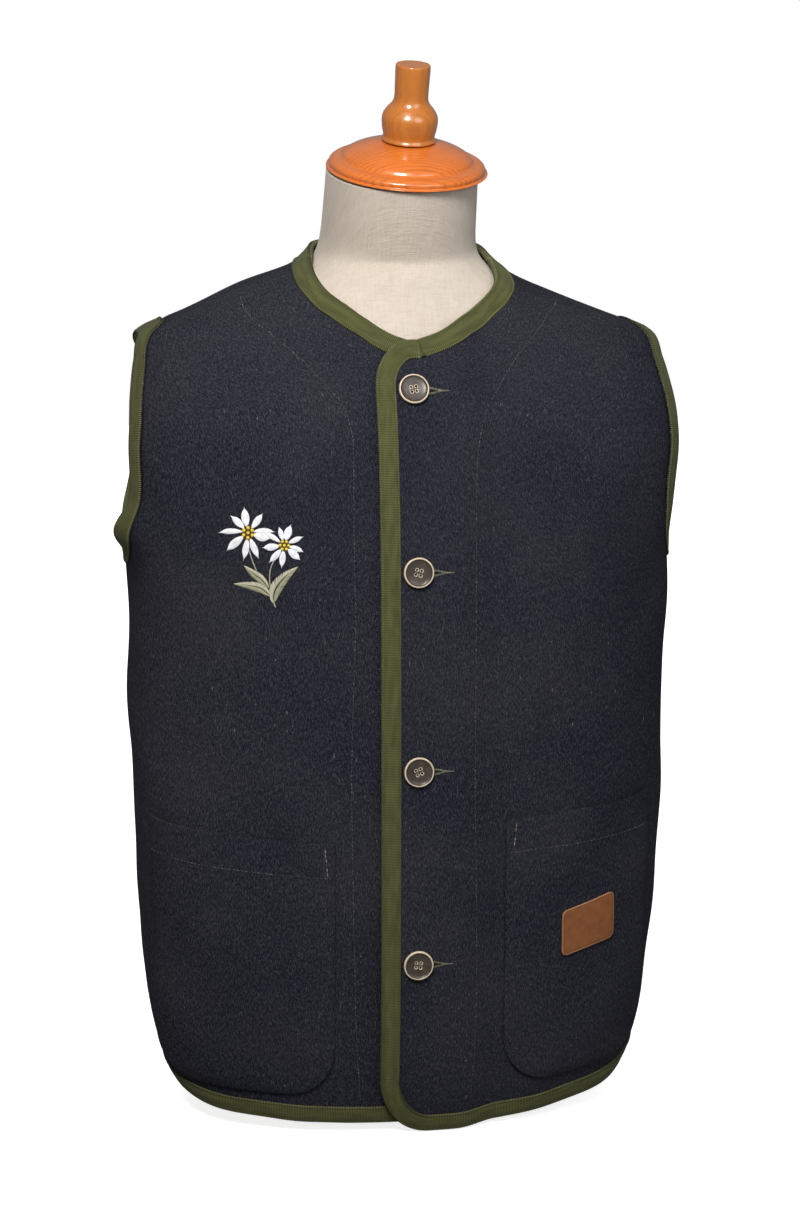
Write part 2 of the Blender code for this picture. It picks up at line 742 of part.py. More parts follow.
def form_ring(height):
    """A ring of the linen form behind the cloth, from centre back round by the wearer's right."""
    angles = np.linspace(-180, 180, FORM_COLUMNS + 1)
    place = np.stack([np.abs(angles), np.full(len(angles), height)], axis=-1)
    points = body(place) - outward(place) * ease_at(height)
    points[:, 2] = np.where(height == 0, 0.0, points[:, 2])
    flank = np.exp(-((np.abs(angles) - 90) / 22) ** 2) * np.exp(-((height - 0.55) / 0.075) ** 2)
    points[:, 0] -= FORM_ARMHOLE_INSET * flank
    points[:, 0] *= np.sign(angles)
    return points


def neck_ring(height, half_width, half_depth, centre, tilt):
    angles = np.radians(np.linspace(-180, 180, FORM_COLUMNS + 1))
    flat = np.stack([half_width * np.sin(angles), -half_depth * np.cos(angles), 0 * angles], axis=-1)
    lean = np.array(Matrix.Rotation(radians(tilt), 3, "X"))
    return flat @ lean.T + (0, centre, height)


def add_form():
    """The linen torso: rings from the flat base to the slanted top of its neck."""
    rings = [form_ring(height) for height in FORM_RINGS]
    rings += [neck_ring(*row) for row in NECK_RINGS]
    points = np.stack(rings)
    bm = laid_on(points)
    bmesh.ops.holes_fill(bm, edges=bm.edges, sides=FORM_COLUMNS)
    bmesh.ops.recalc_face_normals(bm, faces=bm.faces)
    mesh = bpy.data.meshes.new("form_torso")
    bm.to_mesh(mesh)
    bm.free()
    add_object("form_torso", mesh, LINEN)


def add_turned_wood():
    for name, profile, finish in (("neck_cap", CAP_PROFILE, CAP_WOOD), ("finial", FINIAL_PROFILE, FINIAL_WOOD)):
        made = turned(name, profile, finish)
        made.location = CAP_CENTRE
        made.rotation_euler = (radians(CAP_TILT), radians(CAP_SIDE_LEAN), 0)


for old in list(bpy.data.objects):
    bpy.data.objects.remove(old)
vest = bpy.data.collections.new("folk_vest_on_form")
bpy.context.scene.collection.children.link(vest)

add_form()
add_turned_wood()
add_back()
add_fronts()
add_pockets()
add_label()
add_buttons()
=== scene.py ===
"""The finished look of a man's loden folk vest, buttoned round a limbless linen dress form.

Metres, +Z up. The form stands at z = 0 and faces -Y, so +X is the wearer's left. Cloth lies on one
body surface, where a place is an angle round the body from centre front and a height.
"""

from collections import namedtuple
from math import cos, pi, radians, sin, tan

import bmesh
import bpy
import numpy as np
from mathutils import Matrix, Vector


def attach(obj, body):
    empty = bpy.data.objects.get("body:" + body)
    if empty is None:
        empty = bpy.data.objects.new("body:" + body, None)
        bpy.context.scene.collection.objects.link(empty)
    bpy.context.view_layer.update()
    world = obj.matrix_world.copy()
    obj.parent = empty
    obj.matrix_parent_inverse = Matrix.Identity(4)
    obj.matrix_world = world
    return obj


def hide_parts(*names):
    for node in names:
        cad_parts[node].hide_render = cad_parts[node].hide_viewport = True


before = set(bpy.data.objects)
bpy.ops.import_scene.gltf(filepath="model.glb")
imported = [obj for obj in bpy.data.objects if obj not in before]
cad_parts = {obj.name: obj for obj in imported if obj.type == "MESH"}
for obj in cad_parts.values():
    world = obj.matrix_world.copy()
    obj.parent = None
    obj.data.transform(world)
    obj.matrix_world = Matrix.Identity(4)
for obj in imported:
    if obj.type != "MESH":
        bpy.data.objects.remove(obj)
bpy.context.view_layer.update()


# ================================================================ Linen torso
# A limbless torso of hard foam. Natural linen is stretched over it, pulled up the neck and tacked
# under the wooden cap, with its selvedges joined by a seam down the back.

SECTIONS = (
    # height, half_width, front, back, centre, power: the inner face of the vest
    (0.0000, 0.1760, -0.1080, 0.0980, -0.005, 2.60),
    (0.0300, 0.1870, -0.1170, 0.1050, -0.005, 2.50),
    (0.0500, 0.1950, -0.1205, 0.1080, -0.005, 2.50),
    (0.0700, 0.2015, -0.1230, 0.1100, -0.004, 2.45),
    (0.0950, 0.2070, -0.1250, 0.1120, -0.004, 2.45),
    (0.1400, 0.2120, -0.1270, 0.1130, -0.004, 2.45),
    (0.2600, 0.2170, -0.1285, 0.1120, -0.004, 2.45),
    (0.3800, 0.2205, -0.1280, 0.1110, -0.003, 2.50),
    (0.4600, 0.2230, -0.1260, 0.1150, -0.002, 2.65),
    (0.5000, 0.2255, -0.1230, 0.1185, -0.001, 2.90),
    (0.5500, 0.2280, -0.1160, 0.1210, 0.001, 3.10),
    (0.5840, 0.2250, -0.1070, 0.1210, 0.004, 3.00),
    (0.6150, 0.2165, -0.0950, 0.1165, 0.007, 2.75),
    (0.6345, 0.2085, -0.0860, 0.1110, 0.009, 2.45),
    (0.6435, 0.1910, -0.0820, 0.1070, 0.010, 2.30),
    (0.6500, 0.1735, -0.0785, 0.1030, 0.010, 2.20),
    (0.6575, 0.1530, -0.0750, 0.0985, 0.010, 2.15),
    (0.6670, 0.1280, -0.0715, 0.0925, 0.010, 2.10),
    (0.6790, 0.0985, -0.0680, 0.0840, 0.009, 2.10),
    (0.6910, 0.0785, -0.0650, 0.0760, 0.007, 2.10),
    (0.7035, 0.0675, -0.0635, 0.0700, 0.004, 2.10),
    (0.7200, 0.0640, -0.0640, 0.0650, 0.000, 2.10),
)
FORM_EASE = (
    # height, how far the form lies behind the cloth
    (0.000, 0.0280),
    (0.100, 0.0240),
    (0.260, 0.0170),
    (0.380, 0.0120),
    (0.480, 0.0080),
    (0.560, 0.0055),
    (0.620, 0.0042),
    (0.660, 0.0032),
    (0.700, 0.0030),
)
FORM_ARMHOLE = (90, 0.55)  # the angle and height where the form is drawn in most at its armholes
FORM_ARMHOLE_REACH = (22, 0.075)
FORM_ARMHOLE_INSET = 0.008
FORM_RING_HEIGHTS = (0.0, 0.05, 0.12, 0.20, 0.28, 0.36, 0.43, 0.49, 0.54, 0.58, 0.61, 0.63, 0.642, 0.652,
                     0.662, 0.674, 0.686)
NECK_RINGS = (
    # height, half_width, half_depth, centre, tilt
    (0.6935, 0.0700, 0.0630, 0.0030, 2.0),
    (0.7020, 0.0640, 0.0620, -0.0010, 5.0),
    (0.7160, 0.0622, 0.0615, -0.0070, 9.0),
    (0.7330, 0.0615, 0.0610, -0.0145, 13.0),
    (0.7500, 0.0608, 0.0605, -0.0215, 16.0),
    (0.7640, 0.0605, 0.0605, -0.0270, 17.5),
)
FORM_COLUMNS = 120
FORM_ROWS = 230
FLARE_STEPS = 90  # the linen is stretched in one soft flare from the neck to the shoulders
FLARE_HEIGHT = 0.702
FLARE_REACH = 0.052
FLARE_PULL = 0.5
TOUCHING = 1e-6  # metres: vertices this close are joined
TURN_STEP = 0.05  # in degrees, and RISE_STEP in metres: how far apart a surface's slope is read
RISE_STEP = 0.0005


def smooth_curve(table, column=1):
    """A function through a table's rows, with no overshoot between them."""
    xs = np.array([row[0] for row in table], float)
    ys = np.array([row[column] for row in table], float)
    steps = np.diff(xs)
    grades = np.diff(ys) / steps
    tangents = np.concatenate([grades[:1], (grades[1:] + grades[:-1]) / 2, grades[-1:]])
    turning = grades[1:] * grades[:-1] <= 0
    tangents[1:-1][turning] = 0.0
    steepest = 3 * np.minimum(np.abs(grades[1:]), np.abs(grades[:-1]))
    tangents[1:-1] = np.clip(tangents[1:-1], -steepest, steepest)

    def value(x):
        x = np.clip(np.asarray(x, float), xs[0], xs[-1])
        row = np.clip(np.searchsorted(xs, x, side="right") - 1, 0, len(steps) - 1)
        width = steps[row]
        t = (x - xs[row]) / width
        start = (1 + 2 * t) * (1 - t) ** 2 * ys[row] + t * (1 - t) ** 2 * width * tangents[row]
        end = t * t * (3 - 2 * t) * ys[row + 1] + t * t * (t - 1) * width * tangents[row + 1]
        return start + end

    return value


half_width_at = smooth_curve(SECTIONS, 1)
front_at = smooth_curve(SECTIONS, 2)
back_at = smooth_curve(SECTIONS, 3)
centre_at = smooth_curve(SECTIONS, 4)
power_at = smooth_curve(SECTIONS, 5)
ease_at = smooth_curve(FORM_EASE)


def body(place):
    """Points of the body surface at (angle in degrees, height) places of any shape (..., 2)."""
    angle = np.radians(place[..., 0])
    height = place[..., 1]
    centre = centre_at(height)
    depth = np.where(np.cos(angle) > 0, centre - front_at(height), back_at(height) - centre)
    power = power_at(height)
    across = np.abs(np.sin(angle)) / half_width_at(height)
    along = np.abs(np.cos(angle)) / depth
    reach = (across**power + along**power) ** (-1 / power)
    return np.stack([reach * np.sin(angle), centre - reach * np.cos(angle), height], axis=-1)


def unit(vectors):
    return vectors / np.linalg.norm(vectors, axis=-1, keepdims=True)


def slopes(place, surface=body):
    """How a surface moves for one degree and for one metre of height."""
    turn, rise = np.array([TURN_STEP, 0.0]), np.array([0.0, RISE_STEP])
    by_angle = (surface(place + turn) - surface(place - turn)) / (2 * TURN_STEP)
    by_height = (surface(place + rise) - surface(place - rise)) / (2 * RISE_STEP)
    return by_angle, by_height


def outward(place, surface=body):
    by_angle, by_height = slopes(place, surface)
    return unit(np.cross(by_angle, by_height))


def through(rows, count):
    """Points of a smooth curve through rows of points, (count, ...)."""
    rows = np.asarray(rows, float)
    rows = np.concatenate([2 * rows[:1] - rows[1:2], rows, 2 * rows[-1:] - rows[-2:-1]])
    at = np.linspace(0, len(rows) - 3, count)
    first = np.minimum(at.astype(int), len(rows) - 4)
    t = (at - first).reshape((-1,) + (1,) * (rows.ndim - 1))
    a, b, c, d = (rows[first + step] for step in range(4))
    return b + t / 2 * (c - a + t * (2 * a - 5 * b + 4 * c - d + t * (3 * b - a - 3 * c + d)))


def measured(points):
    """The UV of a grid of points (rows, columns, 3), in metres along its rows and columns."""
    across = np.linalg.norm(np.diff(points, axis=1), axis=2)
    up = np.linalg.norm(np.diff(points, axis=0), axis=2)
    u = np.concatenate([np.zeros((points.shape[0], 1)), np.cumsum(across, axis=1)], axis=1)
    v = np.concatenate([np.zeros((1, points.shape[1])), np.cumsum(up, axis=0)], axis=0)
    return np.stack([u - u[:, -1:] / 2, v], axis=-1)


def lay_grid(bm, points, uv=None, attributes=()):
    """Lays a new grid of faces on a grid of points (rows, columns, 3).

    Each attribute is a name and a grid of numbers, kept on the vertices.
    """
    rows, columns = points.shape[:2]
    uv = measured(points) if uv is None else uv
    uv_layer = bm.loops.layers.uv.verify()
    layers = []
    for name, values in attributes:
        layer = bm.verts.layers.float.get(name) or bm.verts.layers.float.new(name)
        layers.append((layer, values))
    made = bmesh.ops.create_grid(bm, x_segments=columns - 1, y_segments=rows - 1, size=0.5)["verts"]
    uv_at = {}
    for vert in made:
        column = round((vert.co.x + 0.5) * (columns - 1))
        row = round((vert.co.y + 0.5) * (rows - 1))
        vert.co = points[row, column]
        uv_at[vert] = uv[row, column]
        for layer, values in layers:
            vert[layer] = values[row, column]
    for vert in made:
        for loop in vert.link_loops:
            loop[uv_layer].uv = uv_at[vert]


def finished_piece(name, bm, finish):
    """A piece of the object, made from its bmesh."""
    mesh = bpy.data.meshes.new(name)
    bm.to_mesh(mesh)
    bm.free()
    mesh.shade_smooth()
    mesh.materials.append(finish)
    piece = bpy.data.objects.new(name, mesh)
    bpy.context.scene.collection.objects.link(piece)
    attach(piece, "root")
    return piece


class Finish:
    """A material's nodes, written one after another."""

    def __init__(self, name, colour, roughness):
        self.material = bpy.data.materials.new(name)
        self.material.use_nodes = True
        self.tree = self.material.node_tree
        self.shader = self.tree.nodes["Principled BSDF"]
        self.set(**{"Base Color": (*colour, 1.0), "Roughness": roughness})

    def set(self, **values):
        for socket, value in values.items():
            self.shader.inputs[socket].default_value = value

    def node(self, kind, inputs=None, **settings):
        node = self.tree.nodes.new(kind)
        for name, value in settings.items():
            setattr(node, name, value)
        for name, value in (inputs or {}).items():
            socket = node.inputs[name]
            if isinstance(value, bpy.types.NodeSocket):
                self.tree.links.new(value, socket)
            else:
                socket.default_value = value
        return node

    def place(self, source="UV", scale=(1, 1, 1), turn=(0, 0, 0), shift=(0, 0, 0)):
        """Object or UV coordinates, stretched and turned."""
        at = self.node("ShaderNodeTexCoord").outputs[source]
        mapping = self.node("ShaderNodeMapping", {"Vector": at, "Scale": scale, "Location": shift})
        mapping.inputs["Rotation"].default_value = turn
        return mapping.outputs[0]

    def noise(self, at, scale, detail=2.0, roughness=0.5, distortion=0.0):
        inputs = {"Vector": at, "Scale": scale, "Detail": detail, "Roughness": roughness,
                  "Distortion": distortion}
        return self.node("ShaderNodeTexNoise", inputs).outputs["Fac"]

    def bands(self, at, scale, direction="X", distortion=0.0, detail=0.0, detail_scale=1.0):
        inputs = {"Vector": at, "Scale": scale, "Distortion": distortion, "Detail": detail,
                  "Detail Scale": detail_scale}
        return self.node("ShaderNodeTexWave", inputs, bands_direction=direction).outputs["Fac"]

    def between(self, value, low, high, start=0.0, end=1.0):
        """A value's share of the way from low to high, as a number from start to end."""
        inputs = {"Value": value, "From Min": low, "From Max": high, "To Min": start, "To Max": end}
        return self.node("ShaderNodeMapRange", inputs).outputs[0]

    def sum(self, kind, a, b=0.0):
        """Two numbers put together by one kind of arithmetic."""
        return self.node("ShaderNodeMath", {0: a, 1: b}, operation=kind).outputs[0]

    def vector(self, kind, *values, output="Vector"):
        """The same for vectors. A length is read from the output Value."""
        return self.node("ShaderNodeVectorMath", dict(enumerate(values)), operation=kind).outputs[output]

    def mix(self, share, a, b):
        """Colour a turned into colour b by a share."""
        return self.node("ShaderNodeMix", {0: share, 6: a, 7: b}, data_type="RGBA").outputs[2]

    def link(self, **outputs):
        for socket, output in outputs.items():
            self.tree.links.new(output, self.shader.inputs[socket])

    def bump(self, height, distance, strength=1.0, under=None):
        inputs = {"Height": height, "Distance": distance, "Strength": strength}
        if under is not None:
            inputs["Normal"] = under
        return self.node("ShaderNodeBump", inputs).outputs[0]


LINEN_PALE = (0.590, 0.520, 0.450, 1)
LINEN_DARK = (0.470, 0.400, 0.330, 1)
LINEN_THREAD = 0.00075  # from one thread of the weave to the next
LINEN_RELIEF = 0.00022
LINEN_YARNS = (
    # how fine across the thread, how fine along it, share of the tone: threads, then slubs
    (0.83 / LINEN_THREAD, 170, 0.6),
    (0.42 / LINEN_THREAD, 60, 0.9),
)


def linen_finish():
    linen = Finish("natural_linen", LINEN_PALE[:3], 0.85)
    at = linen.place(shift=(1, 1, 0))
    uneven = linen.noise(at, 90.0, 3.0)
    tint = linen.noise(at, 14.0, 2.0)
    threads = None
    for fine, long, share in LINEN_YARNS:
        for scale in ((fine, long, 1), (long, fine, 1)):
            thread = linen.noise(linen.place(scale=scale), 1.0, 2.0, 0.6)
            thread = linen.between(thread, 0.42, 0.70, 0.0, share)
            threads = thread if threads is None else linen.sum("ADD", threads, thread)
    shade = linen.sum("MULTIPLY", threads, 0.34)
    shade = linen.sum("ADD", shade, linen.between(uneven, 0.3, 0.7, -0.15, 0.15))
    shade = linen.sum("ADD", shade, linen.between(tint, 0.35, 0.65, -0.12, 0.12))
    linen.link(**{"Base Color": linen.mix(shade, LINEN_PALE, LINEN_DARK)})
    linen.link(Normal=linen.bump(threads, LINEN_RELIEF, 0.7))
    linen.set(**{"Sheen Weight": 0.15, "Sheen Roughness": 0.5})
    return linen.material


def form_ring(height):
    angles = np.linspace(-180, 180, FORM_COLUMNS + 1)
    place = np.stack([np.abs(angles), np.full(len(angles), height)], axis=-1)
    points = body(place) - outward(place) * ease_at(height)
    points[:, 2] = np.where(height == 0, 0.0, points[:, 2])
    (angle, middle), (angle_reach, height_reach) = FORM_ARMHOLE, FORM_ARMHOLE_REACH
    flank = np.exp(-((np.abs(angles) - angle) / angle_reach) ** 2)
    flank = flank * np.exp(-((height - middle) / height_reach) ** 2)
    points[:, 0] -= FORM_ARMHOLE_INSET * flank
    points[:, 0] *= np.sign(angles)
    return points


def neck_ring(height, half_width, half_depth, centre, tilt):
    angles = np.radians(np.linspace(-180, 180, FORM_COLUMNS + 1))
    flat = np.stack([half_width * np.sin(angles), -half_depth * np.cos(angles), 0 * angles], axis=-1)
    lean = np.array(Matrix.Rotation(radians(tilt), 3, "X"))
    return flat @ lean.T + (0, centre, height)


rings = [form_ring(height) for height in FORM_RING_HEIGHTS] + [neck_ring(*row) for row in NECK_RINGS]
skin = through(rings, FORM_ROWS)
for _ in range(FLARE_STEPS):
    pull = np.clip(1 - np.abs(skin[1:-1, :, 2:] - FLARE_HEIGHT) / FLARE_REACH, 0, 1)
    skin[1:-1] += FLARE_PULL * pull * ((skin[:-2] + skin[2:]) / 2 - skin[1:-1])
bm = bmesh.new()
lay_grid(bm, skin)
bmesh.ops.remove_doubles(bm, verts=bm.verts, dist=TOUCHING)
bmesh.ops.holes_fill(bm, edges=bm.edges, sides=FORM_COLUMNS)
bmesh.ops.recalc_face_normals(bm, faces=bm.faces)
linen_torso = finished_piece("linen_torso", bm, linen_finish())
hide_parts("form_torso")


# ================================================================ Neck cap
# A turned hardwood lid, stained orange-brown and varnished to a gloss. It is pegged to the top of
# the form over the tacked edge of the linen, and leans back with it.

CAP_TILT = 17.5
CAP_SIDE_LEAN = 0.6
CAP_CENTRE = (0.0035, -0.0290, 0.7680)
CAP_PROFILE = (
    # radius, height above the rim
    (0.0000, 0.0200),
    (0.0215, 0.0195),
    (0.0330, 0.0165),
    (0.0430, 0.0130),
    (0.0500, 0.0090),
    (0.0530, 0.0055),
    (0.0585, 0.0045),
    (0.0618, 0.0020),
    (0.0618, -0.0010),
    (0.0590, -0.0030),
    (0.0000, -0.0030),
)
CAP_STAIN = (0.680, 0.168, 0.020, 1)
CAP_GRAIN = (0.260, 0.050, 0.006, 1)
GRAIN_RELIEF = 0.00004
WOOD_AXIS = (Matrix.Translation(CAP_CENTRE) @ Matrix.Rotation(radians(CAP_TILT), 4, "X")
             @ Matrix.Rotation(radians(CAP_SIDE_LEAN), 4, "Y"))


def wood_finish(name, stain, grain, gloss):
    """Varnished wood, with its grain running across the lid and down the peg."""
    wood = Finish(name, stain[:3], 0.35)
    at = wood.place("Object", scale=(9, 60, 60), turn=(radians(-CAP_TILT), 0, 0))
    rings = wood.bands(at, 1.6, "Y", 5.0, 3.0, 1.4)
    fleck = wood.noise(wood.place("Object", scale=(70, 700, 700)), 1.0, 3.0, 0.6)
    patch = wood.noise(wood.place("Object", scale=(30, 45, 45)), 1.0, 2.0)
    lines = wood.between(rings, 0.35, 1.0, 0.0, 0.45)
    share = wood.sum("MULTIPLY", lines, wood.between(patch, 0.35, 0.65, 0.3, 1.2))
    share = wood.sum("ADD", share, wood.between(fleck, 0.55, 0.75, 0.0, 0.35))
    wood.link(**{"Base Color": wood.mix(share, stain, grain)})
    wood.link(Normal=wood.bump(fleck, GRAIN_RELIEF, 0.5))
    wood.set(**{"Coat Weight": gloss, "Coat Roughness": 0.06, "Coat IOR": 1.5})
    return wood.material


def turned(profile, points, sides):
    """A smooth solid of revolution about Z, from (radius, height) rows."""
    curve = through(profile, points)
    curve[:, 0] = np.maximum(curve[:, 0], 0.0)
    curve[[0, -1], 0] = 0.0
    spokes = [(cos(angle), sin(angle)) for angle in np.linspace(0, 2 * pi, sides, endpoint=False)]
    bm = bmesh.new()
    rings = [[bm.verts.new((radius * x, radius * y, height)) for x, y in spokes] for radius, height in curve]
    for upper, lower in zip(rings, rings[1:]):
        for at in range(sides):
            bm.faces.new((upper[at - 1], lower[at - 1], lower[at], upper[at]))
    bmesh.ops.remove_doubles(bm, verts=bm.verts, dist=TOUCHING)
    bmesh.ops.recalc_face_normals(bm, faces=bm.faces)
    return bm


def turned_wood(name, profile, finish):
    """A piece of wood turned to a profile and set on the leaning axis."""
    bm = turned(profile, 90, 128)
    bmesh.ops.transform(bm, matrix=WOOD_AXIS, verts=bm.verts)
    return finished_piece(name, bm, finish)


cap_finish = wood_finish("orange_varnished_wood", CAP_STAIN, CAP_GRAIN, 1.0)
cap_lid = turned_wood("cap_lid", CAP_PROFILE, cap_finish)
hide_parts("neck_cap")


# ================================================================ Finial
# The turned peg that the form is lifted by: a straight grip over a swelling, of a browner wood than
# the lid, glued into its centre and varnished.

FINIAL_PROFILE = (
    # radius, height above the cap's rim
    (0.0000, 0.0805),
    (0.0090, 0.0806),
    (0.0122, 0.0803),
    (0.0137, 0.0790),
    (0.0135, 0.0660),
    (0.0134, 0.0550),
    (0.0150, 0.0500),
    (0.0185, 0.0460),
    (0.0213, 0.0415),
    (0.0222, 0.0370),
    (0.0216, 0.0305),
    (0.0203, 0.0245),
    (0.0200, 0.0203),
    (0.0000, 0.0203),
)
FINIAL_STAIN = (0.500, 0.165, 0.022, 1)
FINIAL_GRAIN = (0.400, 0.115, 0.014, 1)

peg_finish = wood_finish("brown_varnished_wood", FINIAL_STAIN, FINIAL_GRAIN, 0.9)
peg = turned_wood("peg", FINIAL_PROFILE, peg_finish)
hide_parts("finial")


# ================================================================ Back panel
# One piece of milled wool loden, cut on the fold and joined to the fronts by side and shoulder
# seams. The wool is a dark blue-grey melange with a short matt nap.

CLOTH = 0.0022
BRAID = 0.0010
BRAID_WIDTH = 0.016
EDGE_ROOM = 0.0012
SEAM_GAP = 0.0005
SEAM_DIP = 0.0007  # the cloth turns down into its seams
SEAM_DIP_REACH = 0.0035
NECKLINE = (
    # angle, height
    (0, 0.6305),
    (11, 0.6370),
    (22, 0.6475),
    (32, 0.6585),
    (43, 0.6700),
    (54, 0.6815),
    (66, 0.6915),
    (80, 0.7000),
    (95, 0.7050),
    (120, 0.7090),
    (150, 0.7115),
    (180, 0.7120),
)
HEM = (
    # angle, right, left
    (0, 0.0090, 0.0075),
    (15, 0.0092, 0.0070),
    (30, 0.0100, 0.0084),
    (50, 0.0120, 0.0125),
    (66, 0.0165, 0.0200),
    (78, 0.0235, 0.0290),
    (90, 0.0335, 0.0380),
    (104, 0.0280, 0.0330),
    (125, 0.0190, 0.0200),
    (150, 0.0160, 0.0160),
    (180, 0.0150, 0.0150),
)
ARMHOLE = {
    # side: angle and height, up its back edge, over the shoulder, down its front edge
    -1: ((90.0, 0.4680), (95.5, 0.4735), (101.0, 0.4865), (106.0, 0.5070), (109.5, 0.5330), (111.5, 0.5610),
         (110.5, 0.5890), (106.0, 0.6145), (98.5, 0.6305), (91.0, 0.6345), (84.0, 0.6320), (80.5, 0.6110),
         (78.0, 0.5870), (76.5, 0.5600), (76.5, 0.5300), (78.0, 0.5040), (80.8, 0.4840), (85.0, 0.4725),
         (90.0, 0.4680)),
    1: ((90.0, 0.4640), (95.5, 0.4700), (100.5, 0.4835), (104.5, 0.5050), (107.5, 0.5310), (109.0, 0.5600),
        (108.0, 0.5870), (104.0, 0.6125), (97.0, 0.6285), (89.5, 0.6320), (82.0, 0.6285), (77.5, 0.6050),
        (75.2, 0.5830), (74.0, 0.5580), (74.0, 0.5300), (75.0, 0.5040), (77.5, 0.4830), (83.0, 0.4690),
        (90.0, 0.4640)),
}
SHOULDER_TIP = 10  # the row of ARMHOLE where the shoulder seam ends
SHOULDER_SEAM_NECK_ANGLE = 70.0
HANG = (
    # side, angle, height, angle_reach, height_reach, depth: folds out of the surface, or hollows
    (-1, 84, 0.487, 9, 0.014, 0.0120),
    (-1, 76, 0.545, 14, 0.050, -0.0030),
    (1, 84, 0.480, 12, 0.035, -0.0040),
    (-1, 84, 0.669, 26, 0.018, 0.0070),
    (-1, 92, 0.425, 16, 0.045, -0.0030),
    (-1, 76, 0.055, 18, 0.045, 0.0030),
    (-1, 62, 0.385, 13, 0.080, -0.0030),
    (1, 66, 0.375, 12, 0.070, -0.0035),
    (-1, 103, 0.330, 8, 0.130, -0.0030),
    (1, 106, 0.300, 8, 0.120, -0.0030),
    (-1, 128, 0.200, 9, 0.200, 0.0040),
    (1, 131, 0.220, 9, 0.190, 0.0035),
    (-1, 152, 0.260, 8, 0.170, -0.0035),
    (1, 155, 0.240, 8, 0.190, -0.0035),
)
OVER_LIFT = 0.0062
LIFT_ENDS = (0.028, 0.062)
RIPPLE = 0.0007  # soft unevenness of the hanging wool
RIPPLES = (
    # share, waves round the body, waves up it, shift of each side
    (1.0, 5.1, 23, 1),
    (1.0, 9.3, -31, 2),
    (0.6, 17, 55, 0),
    (0.6, 13, -71, 1),
)
CALM_FRONT = (24, 20)  # where the ripples die out: the angle or height, and how far it takes
CALM_BACK = (180, 12)
CALM_NECK = (0.70, 0.05)
BACK_COLUMNS = 60
SIDE_ROWS = 84
ARMHOLE_ROWS = 96
BACK_NECK_ROWS = 40
BEND_STEP = 0.030
SAME_PLACE = 1e-5
FOLD_REACH = 1e-4  # the back's halves meet this close to its middle
FOLD_APART = 1e-3

neckline_at = smooth_curve(NECKLINE)
hem_at = {-1: smooth_curve(HEM, 1), 1: smooth_curve(HEM, 2)}


def hang(place, side):
    """How far the cloth of one side stands off the body surface."""
    off = np.zeros(place.shape[:-1])
    for fold_side, angle, height, angle_reach, height_reach, depth in HANG:
        if fold_side == side:
            turned_by, risen_by = place[..., 0] - angle, place[..., 1] - height
            off += depth * np.exp(-((turned_by / angle_reach) ** 2 + (risen_by / height_reach) ** 2))
    angle, height = place[..., 0], place[..., 1]
    turn = np.radians(angle)
    waves = sum(share * np.sin(around * turn + up * height + shift * side)
                for share, around, up, shift in RIPPLES)
    front = np.clip((angle - CALM_FRONT[0]) / CALM_FRONT[1], 0, 1)
    back = np.clip((CALM_BACK[0] - angle) / CALM_BACK[1], 0, 1)
    neck = np.clip((CALM_NECK[0] - height) / CALM_NECK[1], 0, 1)
    return off + RIPPLE * waves * front * back * neck


def over_lift(place):
    """How far the over front stands off, where it lies on the under front."""
    start, end = LIFT_ENDS
    t = np.clip((body(place)[..., 0] - start) / (end - start), 0, 1)
    return OVER_LIFT * (1 - t * t * (3 - 2 * t))


def cloth(place, side, over, off=0.0):
    """The inner face of one side's cloth, or points this far off it."""

    def hung(place):
        stand = hang(place, side) + (over_lift(place) if over else 0.0)
        return body(place) + outward(place) * stand[..., None]

    points = hung(place) + outward(place, hung) * np.asarray(off)[..., None]
    return points * (side, 1, 1)


def inside(outline, distance):
    """Each place of an outline moved this far into the cloth, which lies to its right from outside.

    An outline is a path of places, whether it closes, and which of its ends lie on an upright seam.
    """
    path, closed, upright = outline
    if closed:
        ring = np.concatenate([path[-2:-1], path, path[1:2]])
    else:
        ring = np.concatenate([2 * path[:1] - path[1:2], path, 2 * path[-1:] - path[-2:-1]])
    by_angle, by_height = slopes(path)
    along = ring[2:] - ring[:-2]
    tangent = unit(by_angle * along[:, :1] + by_height * along[:, 1:])
    into = np.cross(tangent, outward(path)) * distance
    aa = (by_angle**2).sum(-1)
    ab = (by_angle * by_height).sum(-1)
    bb = (by_height**2).sum(-1)
    ia = (into * by_angle).sum(-1)
    ib = (into * by_height).sum(-1)
    area = aa * bb - ab**2
    moved = path + np.stack([(ia * bb - ib * ab) / area, (ib * aa - ia * ab) / area], axis=-1)
    moved[upright, 0] = path[upright, 0]
    return moved


def run_of(points):
    """The length along a line of points, from its start to each of them."""
    return np.concatenate([[0], np.cumsum(np.linalg.norm(np.diff(points, axis=0), axis=1))])


def spaced(path, start, end, count):
    """Indices, with fractions, that part a stretch of a path evenly, closer where it bends."""
    steps = np.diff(body(path), axis=0)
    way = unit(steps)
    bend = np.arccos(np.clip((way[1:] * way[:-1]).sum(-1), -1, 1))
    run = np.concatenate([[0], np.cumsum(np.linalg.norm(steps, axis=1) + BEND_STEP * np.append(bend, 0))])
    index = np.arange(len(path))
    first, last = np.interp([start, end], index, run)
    return np.interp(np.linspace(first, last, count + 1), run, index)


def picked(rows, at, run=None):
    """Rows of numbers read between them, at their indices or at lengths along their run."""
    run = np.arange(len(rows)) if run is None else run
    return np.stack([np.interp(at, run, column) for column in rows.T], axis=-1)


def seam_angle(radius):
    """Half the seam gap, as an angle at this radius."""
    return np.degrees(SEAM_GAP / 2 / radius)


SIDE_GAP_ANGLE = seam_angle(0.20)  # at about the body's radius under the arms
NECK_GAP_ANGLE = seam_angle(0.07)
OUTLINE_POINTS = 1200
ARMHOLE_POINTS = 1801


